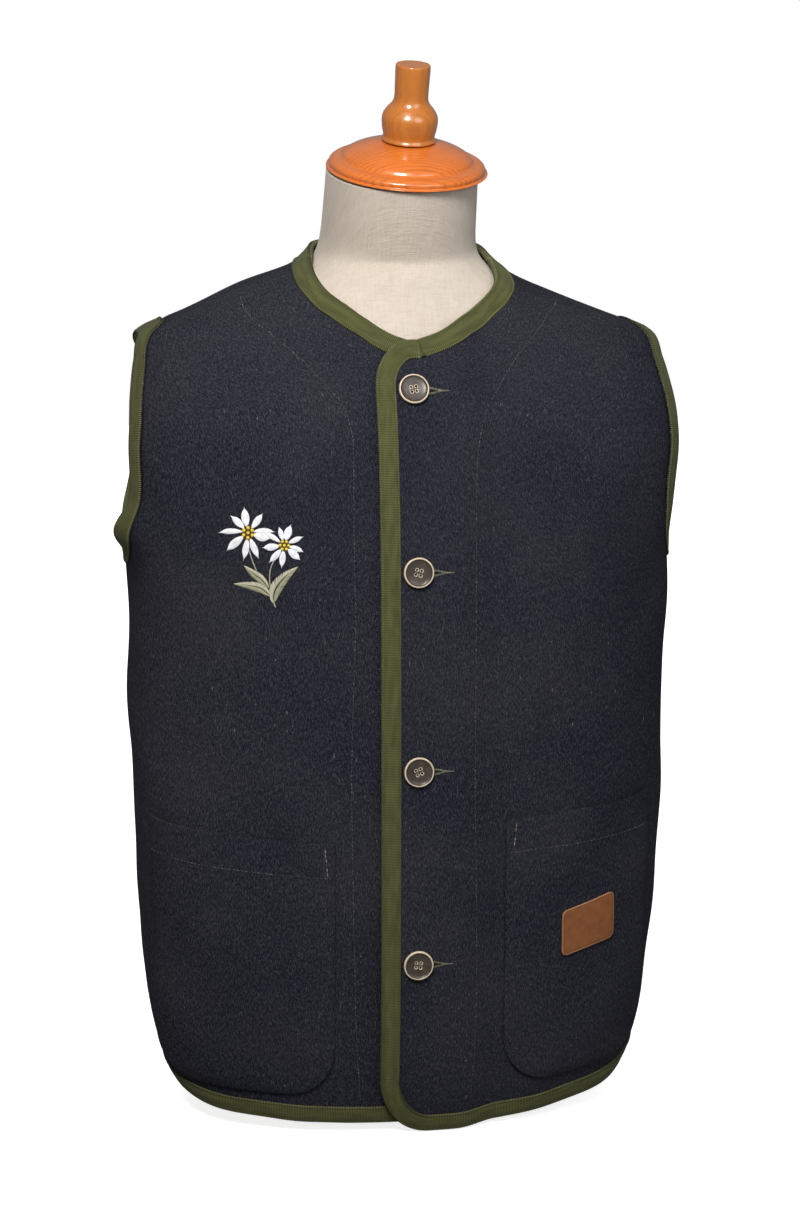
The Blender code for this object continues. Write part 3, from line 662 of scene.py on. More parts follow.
def back_neck_outline():
    along = np.linspace(SHOULDER_SEAM_NECK_ANGLE + NECK_GAP_ANGLE, 180, OUTLINE_POINTS)
    return np.stack([along, neckline_at(along)], axis=-1), False, [-1]


def back_hem_outline(side):
    along = np.linspace(180, 90 + SIDE_GAP_ANGLE, OUTLINE_POINTS)
    return np.stack([along, hem_at[side](along)], axis=-1), False, [0, -1]


def armhole_outline(side):
    rows = [(number, *row) for number, row in enumerate(ARMHOLE[side])]
    at = np.linspace(0, len(rows) - 1, ARMHOLE_POINTS)
    return np.stack([smooth_curve(rows, 1)(at), smooth_curve(rows, 2)(at)], axis=-1), True, [0, -1]


def edge_and_line(outline):
    """The cloth's own edge, just inside a binding's fold, and the line of the binding's far edge."""
    return inside(outline, BRAID + EDGE_ROOM), inside(outline, BRAID_WIDTH)


def parted(places, gap):
    """A run of places with its two ends drawn back from the seams that they meet."""
    places = places.copy()
    places[[0, -1], ..., 0] += gap
    return places


def armhole_halves(side):
    """The armhole's outline, and the indices of its rows on the back and then on the front."""
    outline = armhole_outline(side)
    path = outline[0]
    last = len(path) - 1
    tip = SHOULDER_TIP / (len(ARMHOLE[side]) - 1) * last
    return outline, spaced(path, 0, tip, ARMHOLE_ROWS), spaced(path, tip, last, ARMHOLE_ROWS)


def panel_places(inner, side, hem):
    """Places of a panel's grid between its four edges, (rows, columns, 2)."""
    across = np.linspace(0, 1, len(hem))[None, :, None]
    up = np.linspace(0, 1, len(inner))[:, None, None]
    top = inner[-1] + (side[-1] - inner[-1]) * across[0]
    ruled = inner[:, None] * (1 - across) + side[:, None] * across
    lofted = hem[None] * (1 - up) + top[None] * up
    corners = ((inner[0] * (1 - across) + side[0] * across) * (1 - up)
               + (inner[-1] * (1 - across) + side[-1] * across) * up)
    return ruled + lofted - corners


def side_places(hem_end, armhole):
    """The side seam up from the hem, then the line round the armhole."""
    return np.concatenate([np.linspace(hem_end, armhole[0], SIDE_ROWS + 1), armhole[1:]])


def seam_dips(points):
    """How far a panel's grid turns down near its side edge and its shoulder edge."""
    to_side = np.linalg.norm(points - points[:, -1:], axis=-1)
    to_shoulder = np.linalg.norm(points - points[-1:], axis=-1)
    near_side = np.exp(-(to_side / SEAM_DIP_REACH) ** 2)
    near_shoulder = np.exp(-(to_shoulder / SEAM_DIP_REACH) ** 2)
    return -SEAM_DIP * np.maximum(near_side, near_shoulder)


def facing(points, side):
    """A grid with its columns turned round on the right, so that its faces look outwards there too."""
    return points[:, ::-1] if side < 0 else points


def back_places(side):
    """Places of half the back: its grid, and the bands of it in the hem, neck and armhole bindings."""
    hole, hole_rows, _ = armhole_halves(side)
    hole_edge, hole_line = (
        parted(picked(path, hole_rows), SIDE_GAP_ANGLE) for path in edge_and_line(hole))
    hem, neck = back_hem_outline(side), back_neck_outline()
    hem_rows = spaced(hem[0], 0, len(hem[0]) - 1, BACK_COLUMNS)
    neck_rows = spaced(neck[0], 0, len(neck[0]) - 1, BACK_NECK_ROWS)
    hem_edge, hem_line = (picked(path, hem_rows) for path in edge_and_line(hem))
    neck_edge, neck_line = (picked(path, neck_rows) for path in edge_and_line(neck))
    underarm = np.array([180, hole_line[0, 1]])
    centre = np.concatenate([
        np.linspace(hem_line[0], underarm, SIDE_ROWS + 1),
        np.linspace(underarm, neck_line[-1], ARMHOLE_ROWS - BACK_NECK_ROWS + 1)[1:],
    ])
    inner = np.concatenate([centre, neck_line[-2::-1]])
    grid = panel_places(inner, side_places(hem_line[-1], hole_line), hem_line)
    pairs = ((hem_edge, hem_line), (neck_edge, neck_line), (hole_edge, hole_line))
    return grid, *(np.stack(pair, axis=1) for pair in pairs)


LODEN_NAVY = (0.0066, 0.0079, 0.0150, 1)
LODEN_CHARCOAL = (0.0190, 0.0194, 0.0262, 1)
LODEN_FIBRE = (0.1080, 0.1090, 0.1310, 1)
LODEN_KEMP = (0.2200, 0.2200, 0.2300, 1)  # the few pale hairs
HAIR_SHOWS = (0.56, 0.74)  # the part of a hair layer's noise that is seen
KEMP_SHOWS = (0.735, 0.790)
NAP_RELIEF = 0.00035
TUFT_RELIEF = 0.0007
HAIR_LAYERS = (
    # the way the hairs of one layer lie, in degrees, and a shift that sets it apart from the others
    (12, 3),
    (64, 11),
    (103, 7),
    (151, 17),
)


def loden_finish():
    """Milled wool: dark felt ground, short lighter hairs lying every way, and a few pale ones."""
    wool = Finish("loden_wool", LODEN_CHARCOAL[:3], 0.95)
    millimetres = 1000
    ground = wool.noise(wool.place(scale=(millimetres,) * 3), 0.55, 3.0, 0.65)
    tuft = wool.noise(wool.place(scale=(millimetres,) * 3), 0.22, 2.0, 0.5)
    # Large soft blotches: partly the wool's own uneven tone, partly painted shade standing in for soft drape
    # folds.
    tint = wool.noise(wool.place("Object"), 9.0, 2.0)
    hairs = None
    for turn, shift in HAIR_LAYERS:
        stretch = (millimetres * 1.5, millimetres * 0.32, 1)
        at = wool.place(scale=stretch, turn=(0, 0, radians(turn)), shift=(shift, 0, 0))
        hair = wool.between(wool.noise(at, 1.0, 2.0, 0.6, 0.6), *HAIR_SHOWS)
        hairs = hair if hairs is None else wool.sum("MAXIMUM", hairs, hair)
    stretch = (millimetres * 1.1, millimetres * 0.30, 1)
    kemp = wool.place(scale=stretch, turn=(0, 0, radians(38)), shift=(29, 0, 0))
    kemp = wool.between(wool.noise(kemp, 0.8, 1.0, 0.5, 0.8), *KEMP_SHOWS)
    shade = wool.between(ground, 0.3, 0.7, -0.25, 0.75)
    shade = wool.sum("ADD", shade, wool.between(tint, 0.35, 0.65, -0.35, 0.40))
    felt = wool.mix(shade, LODEN_NAVY, LODEN_CHARCOAL)
    felt = wool.mix(wool.sum("MULTIPLY", hairs, 0.60), felt, LODEN_FIBRE)
    felt = wool.mix(wool.sum("MULTIPLY", kemp, 0.55), felt, LODEN_KEMP)
    wool.link(**{"Base Color": felt})
    nap = wool.sum("ADD", wool.sum("MULTIPLY", hairs, 0.6), ground)
    wool.link(Normal=wool.bump(nap, NAP_RELIEF, 0.8, wool.bump(tuft, TUFT_RELIEF, 0.5)))
    wool.set(**{"Sheen Weight": 0.0, "Specular IOR Level": 0.08})
    return wool.material


LODEN = loden_finish()


def thicken(piece, thickness, offset=1, even=False):
    wall = piece.modifiers.new("Wall", "SOLIDIFY")
    wall.thickness = thickness
    wall.offset = offset
    wall.use_even_offset = even


def wool_panel(name, grids):
    """A panel of loden laid on grids of its inner face, and thickened outwards."""
    bm = bmesh.new()
    for points in grids:
        lay_grid(bm, points)
    bmesh.ops.remove_doubles(bm, verts=bm.verts, dist=SAME_PLACE)
    fold = [vert for vert in bm.verts if abs(vert.co.x) < FOLD_REACH and vert.co.y > 0]
    bmesh.ops.remove_doubles(bm, verts=fold, dist=FOLD_APART)
    panel = finished_piece(name, bm, LODEN)
    thicken(panel, CLOTH, even=True)
    return panel


grids = []
for side in (-1, 1):
    grid, *bands = back_places(side)
    dips = seam_dips(cloth(grid, side, False))
    grids.append(facing(cloth(grid, side, False, dips), -side))
    grids += [facing(cloth(band, side, False), side) for band in bands]
wool_back = wool_panel("wool_back", grids)
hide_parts("back")


# ================================================================ Fronts
# Two fronts of the same wool. The wearer's left one laps over the right, and both have rounded
# corners at neck and hem, so that one braid can run round them without a mitre.

OVER_PAST_CENTRE = 0.0345
UNDER_PAST_CENTRE = 0.0235
OVER_DROP = 0.004
HEM_CORNER = (0.041, 0.048)
NECK_CORNER = (0.030, 0.036)
FRONT_COLUMNS = 64
HEM_LEVEL = 0.01  # heights where the angles of the corners are read
NECK_LEVEL = 0.63
EDGE_POINTS = 600
HEM_POINTS = 800
CORNER_POINTS = 81
FRONTS = {
    # side: past_centre, drop, over
    -1: (UNDER_PAST_CENTRE, 0.0, False),
    1: (OVER_PAST_CENTRE, OVER_DROP, True),
}


def angle_of(across, height):
    """The angle of a point at this distance from the centre line, near centre front."""
    return np.degrees(np.arctan2(across, centre_at(height) - front_at(height)))


def front_outline(side):
    """The free edge of one front, from the side seam along the hem, up the front edge and round the neck.

    Also the index of the middle of its hem corner.
    """
    past_centre, drop, _ = FRONTS[side]
    hem_width, hem_height = HEM_CORNER
    neck_width, neck_height = NECK_CORNER
    start = -past_centre
    hem_turn = angle_of(start + hem_width, HEM_LEVEL)
    along_hem = np.linspace(90 - SIDE_GAP_ANGLE, hem_turn, HEM_POINTS)
    hem_z = hem_at[side](along_hem) - drop * (1 - along_hem / 90)
    hem = np.stack([along_hem, hem_z], axis=-1)
    turn = np.linspace(0, pi / 2, CORNER_POINTS)
    corner_x = start + hem_width - hem_width * np.sin(turn)
    corner_z = hem_z[-1] + hem_height - hem_height * np.cos(turn)
    neck_z = neckline_at(angle_of(start + neck_width, NECK_LEVEL))
    rise_z = np.linspace(hem_z[-1] + hem_height, neck_z - neck_height, EDGE_POINTS + 2)
    top_x = start + neck_width - neck_width * np.cos(turn)
    top_z = neck_z - neck_height + neck_height * np.sin(turn)
    edge_x = np.concatenate([corner_x[1:], np.full(EDGE_POINTS, start), top_x])
    edge_z = np.concatenate([corner_z[1:], rise_z[1:-1], top_z])
    edge = np.stack([angle_of(edge_x, edge_z), edge_z], axis=-1)
    along_neck = np.linspace(edge[-1, 0], SHOULDER_SEAM_NECK_ANGLE - NECK_GAP_ANGLE, HEM_POINTS)[1:]
    neck = np.stack([along_neck, neckline_at(along_neck)], axis=-1)
    return (np.concatenate([hem, edge, neck]), False, [0]), len(hem) + CORNER_POINTS // 2


def front_places(side):
    """Places of a front: its grid, and the bands of it in the edge binding and in the armhole binding."""
    hole, _, hole_rows = armhole_halves(side)
    hole_edge, hole_line = (
        parted(picked(path, hole_rows), -SIDE_GAP_ANGLE) for path in edge_and_line(hole))
    outline, corner = front_outline(side)
    path = outline[0]
    split = corner + int(np.argmax(path[corner:, 1] > hole_line[-1, 1]))
    hem_rows = spaced(path, 0, corner, FRONT_COLUMNS)
    lower_rows = spaced(path, corner, split, SIDE_ROWS)
    upper_rows = spaced(path, split, len(path) - 1, ARMHOLE_ROWS)
    up_rows = np.concatenate([lower_rows, upper_rows[1:]])
    rows = np.concatenate([hem_rows, up_rows[1:]])
    edge, line = edge_and_line(outline)
    hem = picked(line, hem_rows)[::-1]
    grid = panel_places(picked(line, up_rows), side_places(hem[-1], hole_line[::-1]), hem)
    pairs = (picked(edge, rows), picked(line, rows)), (hole_edge, hole_line)
    return grid, *(np.stack(pair, axis=1) for pair in pairs)


for side, name in ((-1, "right"), (1, "left")):
    over = FRONTS[side][2]
    grid, *bands = front_places(side)
    dips = seam_dips(cloth(grid, side, over))
    grids = [facing(cloth(grid, side, over, dips), side)]
    grids += [facing(cloth(band, side, over), side) for band in bands]
    front = wool_panel(f"wool_front_{name}", grids)
    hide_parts(f"front_{name}")


# ================================================================ Braid bindings
# Olive wool braid, folded over every raw edge and sewn through all layers close to its own edge.
# It is ribbed across, with a groove and a row of small loops along each selvedge.

RIB_PITCH = 0.0013
RIB_DEPTH = 0.00016
CORD_PITCH = 0.0009  # the fine cords that run along the braid
BRAID_RELIEF = 0.00022
LOOP_DEPTH = 0.00040
BRAID_SECTION = (
    # into the cloth, off its inner face, share of the rib depth, or 1.0 for a selvedge's loops
    (0.0160, 0.0026, 1.0),
    (0.0156, 0.0035, 1.0),
    (0.0146, 0.0037, 0.8),
    (0.0137, 0.0034, 0.3),
    (0.0125, 0.0037, 0.4),
    (0.0080, 0.0039, 0.4),
    (0.0040, 0.0037, 0.4),
    (0.0028, 0.0034, 0.3),
    (0.0017, 0.0036, 0.8),
    (0.0004, 0.0029, 1.0),
    (0.0000, 0.0012, 1.0),
    (0.0005, -0.0008, 0.6),
    (0.0020, -0.0016, 0.0),
    (0.0150, -0.0018, 0.0),
    (0.0150, -0.0008, 0.0),
    (0.0020, -0.0007, 0.0),
    (0.0013, 0.0011, 0.0),
    (0.0022, 0.0027, 0.0),
    (0.0156, 0.0024, 0.0),
)
BRAID_FACE = 11  # the rows of its section that are seen from outside
HIDDEN_STEP = 0.001  # across the UV of the rows that aren't
GROOVES = (0.0027, 0.0137)
GROOVE_WIDTH = 0.0007
FAR_LOOPS = (0.0145, 0.0149)  # across the braid, where its loops begin and are full
NEAR_LOOPS = (0.0012, 0.0009)
WAVE = 2 * pi / 20  # metres between the bands of a wave texture, at a scale of 1
PROBE = 0.001  # metres between two points that give a direction
OLIVE = (0.1200, 0.1240, 0.0470, 1)
# Darker olive: the braid's random mottle, and painted shade in its hollows.
OLIVE_MOTTLE_AND_SHADE = (0.0320, 0.0380, 0.0130, 1)
# Pale olive: the braid's pale fuzz, and a painted highlight on its loops.
OLIVE_FUZZ_AND_HIGHLIGHT = (0.2500, 0.2520, 0.1100, 1)
OLIVE_GAP_SHADE = (0.0100, 0.0120, 0.0080, 1)  # painted shade between two loops


def braid_finish():
    """Olive braid. Its UV runs in metres across the braid and along it."""
    braid = Finish("olive_braid", OLIVE[:3], 0.85)
    at = braid.place()
    split = braid.node("ShaderNodeSeparateXYZ", {0: at})
    across = split.outputs[0]
    ribs = braid.bands(at, WAVE / RIB_PITCH, "Y", 0.5, 1.0, 1.0)
    cords = braid.bands(at, WAVE / CORD_PITCH, "X", 0.6, 1.0, 1.0)
    worn = braid.noise(braid.place(scale=(220, 45, 1)), 1.0, 3.0)
    fuzz = braid.noise(at, 2600.0, 2.0, 0.7)
    to_grooves = [braid.sum("ABSOLUTE", braid.sum("SUBTRACT", across, line)) for line in GROOVES]
    groove = braid.between(braid.sum("MINIMUM", *to_grooves), 0.0, GROOVE_WIDTH, 1.0, 0.0)
    loops = braid.between(across, *FAR_LOOPS)
    loops = braid.sum("MAXIMUM", loops, braid.between(across, *NEAR_LOOPS))
    colour = braid.mix(braid.between(worn, 0.35, 0.65, 0.0, 0.60), OLIVE, OLIVE_MOTTLE_AND_SHADE)
    # Painted shade, darker in the hollows between the ribs, between the fine cords and along the grooves.
    colour = braid.mix(braid.between(ribs, 0.30, 0.85, 0.0, 0.80), colour, OLIVE_MOTTLE_AND_SHADE)
    colour = braid.mix(braid.sum("MULTIPLY", cords, 0.22), colour, OLIVE_MOTTLE_AND_SHADE)
    colour = braid.mix(braid.sum("MULTIPLY", groove, 0.45), colour, OLIVE_MOTTLE_AND_SHADE)
    # Painted shade in the gaps between the selvedge loops.
    gap_shade = braid.sum("MULTIPLY", loops, braid.between(ribs, 0.45, 0.60, 0.0, 1.0))
    colour = braid.mix(gap_shade, colour, OLIVE_GAP_SHADE)
    # A painted highlight on the tops of the selvedge loops.
    loop_highlight = braid.sum("MULTIPLY", loops, braid.between(ribs, 0.40, 0.20, 0.0, 0.60))
    colour = braid.mix(loop_highlight, colour, OLIVE_FUZZ_AND_HIGHLIGHT)
    colour = braid.mix(braid.between(fuzz, 0.52, 0.75, 0.0, 0.55), colour, OLIVE_FUZZ_AND_HIGHLIGHT)
    braid.link(**{"Base Color": colour})
    height = braid.sum("SUBTRACT", braid.sum("MULTIPLY", cords, -0.4), braid.sum("ADD", ribs, groove))
    height = braid.sum("ADD", height, braid.sum("MULTIPLY", fuzz, 0.5))
    braid.link(Normal=braid.bump(height, BRAID_RELIEF, 0.8))
    braid.set(**{"Sheen Weight": 0.04, "Sheen Roughness": 0.5, "Specular IOR Level": 0.12})
    return braid.material


OLIVE_BRAID = braid_finish()


def braid_grid(outline, side, over):
    """The whole skin of a folded braid along an outline, (rows, columns, 3), with its UV."""
    run = run_of(body(outline[0]))
    rows = 2 * round(run[-1] / RIB_PITCH)
    along = np.linspace(0.0, run[-1], rows + 1)
    indices = np.interp(along, run, np.arange(len(run)))
    sign = np.where(np.arange(rows + 1) % 2, 1.0, -1.0)
    columns = []
    for number, (into, off, share) in enumerate(BRAID_SECTION):
        step = sign * share * (LOOP_DEPTH if share == 1.0 else RIB_DEPTH)
        leg = picked(inside(outline, into), indices)
        if number == 0:  # the loops of the far selvedge stand out along the cloth, not off it
            nearer = picked(inside(outline, into - PROBE), indices)
            leg = leg + (leg - nearer) * (0.5 * step[:, None] / PROBE)
            step = 0.0
        columns.append(cloth(leg, side, over, off + step))
    columns.append(columns[0])
    points = np.stack(columns, axis=1)
    hidden = len(columns) - BRAID_FACE
    across = [row[0] for row in BRAID_SECTION[:BRAID_FACE]]
    across += [-HIDDEN_STEP * number for number in range(1, hidden + 1)]
    uv = np.stack(np.broadcast_arrays(np.array(across)[None], along[:, None]), axis=-1)
    return (points[:, ::-1], uv[:, ::-1]) if side < 0 else (points, uv)


def braid_binding(name, node, strips):
    """One length of braid, from strips that meet end to end."""
    bm = bmesh.new()
    for points, uv in strips:
        lay_grid(bm, points, uv)
    bmesh.ops.remove_doubles(bm, verts=bm.verts, dist=SAME_PLACE)
    ends = [edge for edge in bm.edges if edge.is_boundary]
    bmesh.ops.holes_fill(bm, edges=ends, sides=len(BRAID_SECTION))
    bmesh.ops.recalc_face_normals(bm, faces=bm.faces)
    binding = finished_piece(name, bm, OLIVE_BRAID)
    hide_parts(node)


for side, name in ((-1, "right"), (1, "left")):
    front = braid_grid(front_outline(side)[0], side, FRONTS[side][2])
    braid_binding(f"braid_front_{name}", f"binding_front_{name}", [front])
    hole = braid_grid(armhole_outline(side), side, False)
    braid_binding(f"braid_armhole_{name}", f"binding_armhole_{name}", [hole])
necks = [braid_grid(back_neck_outline(), side, False) for side in (-1, 1)]
hems = [braid_grid(back_hem_outline(side), side, False) for side in (-1, 1)]
braid_binding("braid_back_neck", "binding_back_neck", necks)
braid_binding("braid_back_hem", "binding_back_hem", hems)


# ================================================================ Patch pockets
# Two patches of the same wool with rounded lower corners, felled down invisibly round three sides.
# Their tops are turned in and sewn once across, and barred with a pale thread at the inner corner.

Pocket = namedtuple("Pocket", "name inner width bottom top bottom_rise top_rise")
POCKETS = {
    # inner is the distance of its inner edge from centre front; each rise is towards the side
    -1: Pocket("right", 0.0707, 0.158, 0.0350, 0.2440, 0.010, 0.013),
    1: Pocket("left", 0.0665, 0.138, 0.0385, 0.2590, 0.008, 0.008),
}
POCKET_CORNER = 0.040
POCKET_BELLY = 0.0030
BELLY_ROUNDNESS = 0.7
BELLY_TOP = 2.2  # the belly is fullest a little above the pocket's middle
POCKET_ROOM = 0.0003
POCKET_LIP = 0.0012  # the patch swells just inside its felled edge
POCKET_LIP_REACH = 0.003
POCKET_COLUMNS = 56
POCKET_ROUNDING = 0.0009
RING_STEP = 0.001
RING_LENGTH = 0.27
RING_SPAN = (0.005, 0.695)  # the lowest and highest of the rings that places are measured along
RING_COUNT = 139
RING_TURN = 96  # degrees from centre front to just past the side seam


def front_ring_angles():
    """Angles at even distances along the front from its centre line, one row for each height."""
    heights = np.linspace(*RING_SPAN, RING_COUNT)
    distances = np.arange(0, RING_LENGTH, RING_STEP)
    angles = np.linspace(0, RING_TURN, 4 * RING_TURN + 1)
    rings = [np.stack([angles, np.full(len(angles), height)], axis=-1) for height in heights]
    return heights, np.array([np.interp(distances, run_of(body(ring)), angles) for ring in rings])


RING_HEIGHTS, RING_ANGLES = front_ring_angles()


def on_front(distance, height):
    """Places at distances along the front from its centre line, for arrays of both."""
    distance, height = np.broadcast_arrays(np.asarray(distance, float), np.asarray(height, float))
    row = np.interp(height, RING_HEIGHTS, np.arange(len(RING_HEIGHTS)))
    column = np.clip(distance / RING_STEP, 0, RING_ANGLES.shape[1] - 1.001)
    r = np.minimum(row.astype(int), len(RING_HEIGHTS) - 2)
    c = column.astype(int)
    t, s = row - r, column - c
    low = RING_ANGLES[r, c] * (1 - s) + RING_ANGLES[r, c + 1] * s
    high = RING_ANGLES[r + 1, c] * (1 - s) + RING_ANGLES[r + 1, c + 1] * s
    return np.stack([low * (1 - t) + high * t, height], axis=-1)


def rounded_patch(width, height, low_radius, high_radius, columns, turn_rows=14, rows=48):
    """A patch with rounded corners, (rows, columns) of its distance across and up."""
    turns = np.linspace(0, pi / 2, turn_rows)
    up = low_radius * (1 - np.cos(turns))
    draw_in = low_radius * (1 - np.sin(turns))
    straight = np.linspace(low_radius, height - high_radius, rows)[1:]
    up = np.concatenate([up, straight])
    draw_in = np.concatenate([draw_in, np.zeros(len(straight))])
    if high_radius:
        up = np.concatenate([up, height - high_radius * (1 - np.cos(turns[::-1][1:]))])
        draw_in = np.concatenate([draw_in, high_radius * (1 - np.sin(turns[::-1][1:]))])
    share = np.linspace(0, 1, columns + 1)[None]
    across = draw_in[:, None] + (width - 2 * draw_in[:, None]) * share
    return across, np.broadcast_to(up[:, None], across.shape)


def pocket_places(side, across, up):
    """Places on a front of points of its pocket, from its lower inner corner."""
    pocket = POCKETS[side]
    share_up = up / (pocket.top - pocket.bottom)
    rise = pocket.bottom_rise * (1 - share_up) + pocket.top_rise * share_up
    return on_front(pocket.inner + across, pocket.bottom + up + rise * across / pocket.width)


def pocket_stand(side, across, up):
    """How far the inner face of the pocket stands off the inner face of its front."""
    pocket = POCKETS[side]
    share = np.clip(across / pocket.width, 0, 1)
    share_up = np.clip(up / (pocket.top - pocket.bottom), 0, 1)
    to_edge = np.minimum(np.minimum(across, pocket.width - across), up)
    lip = POCKET_LIP * (1 - np.exp(-np.maximum(to_edge, 0) / POCKET_LIP_REACH))
    belly = POCKET_BELLY * np.sin(pi * share) ** BELLY_ROUNDNESS * np.sin(pi * share_up / BELLY_TOP)
    return CLOTH + POCKET_ROOM + lip + belly


def round_edges(piece, width, segments):
    edge = piece.modifiers.new("Soft_edge", "BEVEL")
    edge.width = width
    edge.segments = segments
    edge.limit_method = "ANGLE"
    edge.angle_limit = radians(50)


for side, pocket in POCKETS.items():
    across, up = rounded_patch(pocket.width, pocket.top - pocket.bottom, POCKET_CORNER, 0.0, POCKET_COLUMNS)
    stand = pocket_stand(side, across, up)
    points = cloth(pocket_places(side, across, up), side, side > 0, stand)
    patch = wool_panel(f"wool_pocket_{pocket.name}", [facing(points, side)])
    round_edges(patch, POCKET_ROUNDING, 3)
    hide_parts(f"pocket_{pocket.name}")


# ================================================================ Sewing
# Fine stitches hold the facings inside both fronts and close the pockets' tops. Each is one short
# strand that dips into the wool at its ends. Some have worn paler than the rest.

STITCH = 0.0026
STITCH_GAP = 0.0007
SEWING_RADIUS = 0.00020
THREAD_TWIST = 0.0005  # from one ply to the next
THREAD_RELIEF = 0.00008
SEAM_START = 0.001
WORN_FACING = 0.16  # share of the stitches that are worn pale
WORN_POCKET = 0.22
POCKET_HEM = 0.0270
BODY_MIDDLE = (0, 0, 0.35)
FACINGS = {
    # side: places of the seam that holds the facing, from the shoulder to the hem
    -1: ((71, 0.6600), (54, 0.6390), (43.5, 0.6205), (38, 0.6080), (29, 0.5850), (25.5, 0.5655),
         (24.3, 0.5425), (23.7, 0.4700), (23.3, 0.4200), (24.2, 0.3500), (24.8, 0.2800), (24.2, 0.1400),
         (23.8, 0.0300)),
    1: ((68, 0.6600), (54.5, 0.6470), (40.5, 0.6220), (31, 0.5975), (25, 0.5790), (21, 0.5560), (19, 0.5265),
        (17.8, 0.4600), (17.6, 0.4000), (17.5, 0.2800), (18.6, 0.1600), (19.2, 0.0300)),
}
THREAD_DARK = (0.0160, 0.0160, 0.0190, 1)
THREAD_GREY = (0.2300, 0.2250, 0.2250, 1)

dice = np.random.default_rng(7)


def thread_finish(name, low, high, sheen=0.3):
    """Spun thread: its tone runs from low to high, and its plies wind round it with painted shade between
    them.
    """
    thread = Finish(name, high[:3], 0.6)
    tone = thread.node("ShaderNodeAttribute", attribute_name="tone").outputs["Fac"]
    plies = thread.bands(thread.place(turn=(0, 0, radians(35))), WAVE / THREAD_TWIST, "Y")
    colour = thread.mix(tone, low, high)
    # Painted shade along the grooves between the plies.
    thread.link(**{"Base Color": thread.mix(thread.sum("MULTIPLY", plies, 0.25), colour, low)})
    thread.link(Normal=thread.bump(plies, THREAD_RELIEF, 0.6))
    thread.set(**{"Sheen Weight": sheen, "Sheen Roughness": 0.4})
    return thread.material


def add_strand(bm, points, radius, tone, sides=6, ends=0.35):
    """A strand of thread along points, thinner towards its two ends."""
    points = np.asarray(points, float)
    along = unit(np.gradient(points, axis=0))
    beside = unit(np.cross(along, unit(points - BODY_MIDDLE)))
    above = np.cross(beside, along)
    share = np.linspace(-1, 1, len(points))
    thickness = radius * (1 - (1 - ends) * np.abs(share) ** 3)
    turn = np.linspace(0, 2 * pi, sides + 1)
    ring = np.cos(turn)[:, None] * beside[:, None] + np.sin(turn)[:, None] * above[:, None]
    skin = points[:, None] + thickness[:, None, None] * ring
    tips = np.repeat(points[[0, -1], None], sides + 1, axis=1)
    skin = np.concatenate([tips[:1], skin, tips[1:]])
    lay_grid(bm, skin, attributes=[("tone", np.full(skin.shape[:2], tone))])


def thread_piece(name, bm, finish):
    """Closes each strand of a piece of sewing, and finishes it."""
    bmesh.ops.remove_doubles(bm, verts=bm.verts, dist=2 * TOUCHING)
    bmesh.ops.recalc_face_normals(bm, faces=bm.faces)
    return finished_piece(name, bm, finish)


def sew(bm, line, stitch, gap, radius, worn):
    """A row of stitches along a line of surface points, (points, 3), with the surface's normals."""
    points, normals = line
    run = run_of(points)
    for start in np.arange(SEAM_START, run[-1] - stitch, stitch + gap):
        at = np.linspace(start, start + stitch, 6)
        rise = radius * (1.0 - 2.2 * np.linspace(-1, 1, 6) ** 4)
        tone = dice.uniform(0.55, 1.0) if dice.random() < worn else dice.uniform(0.0, 0.35)
        add_strand(bm, picked(points, at, run) + picked(normals, at, run) * rise[:, None], radius, tone)


def surface_line(places, side, off):
    """Points and normals along a line of places on one front."""
    points = cloth(places, side, side > 0, off)
    return points, unit(cloth(places, side, side > 0, off + PROBE) - points)


def pocket_line(side, across, up):
    """Points and normals along a line on the face of a pocket."""
    return surface_line(pocket_places(side, across, up), side, pocket_stand(side, across, up) + CLOTH)


SEWING_THREAD = thread_finish("sewing_thread", THREAD_DARK, THREAD_GREY)
sewing = bmesh.new()
for side, places in FACINGS.items():
    line = surface_line(through(places, 900), side, CLOTH)
    sew(sewing, line, STITCH, STITCH_GAP, SEWING_RADIUS, WORN_FACING)
thread_piece("facing_stitches", sewing, SEWING_THREAD)

sewing = bmesh.new()
for side, pocket in POCKETS.items():
    across = np.linspace(SEAM_START, pocket.width - SEAM_START, 300)
    up = np.full(300, pocket.top - pocket.bottom - POCKET_HEM)
    sew(sewing, pocket_line(side, across, up), STITCH, STITCH_GAP, SEWING_RADIUS, WORN_POCKET)
thread_piece("pocket_stitches", sewing, SEWING_THREAD)

BAR_IN = 0.0070  # from the pocket's inner edge
BAR_SLANT = 0.0025
BAR_TOP = 0.003  # from the pocket's top
BAR_STITCH = 0.0036
BAR_GAP = 0.0002
BAR_RADIUS = 0.00026
WORN_BAR = {-1: 0.9, 1: 0.2}
BAR_THREAD = (0.5200, 0.4700, 0.3800, 1)
bars = bmesh.new()
for side, pocket in POCKETS.items():
    high = pocket.top - pocket.bottom
    up = np.linspace(high - POCKET_HEM, high - BAR_TOP, 40)
    across = BAR_IN - BAR_SLANT * np.linspace(1, 0, 40)
    sew(bars, pocket_line(side, across, up), BAR_STITCH, BAR_GAP, BAR_RADIUS, WORN_BAR[side])
thread_piece("pocket_bars", bars, thread_finish("bar_thread", THREAD_DARK, BAR_THREAD))


# ================================================================ Buttonholes
# Four slits in the over front, worked round with grey-green thread. Each gapes a little at the
# button's shank and closes towards a bar at its outer end.

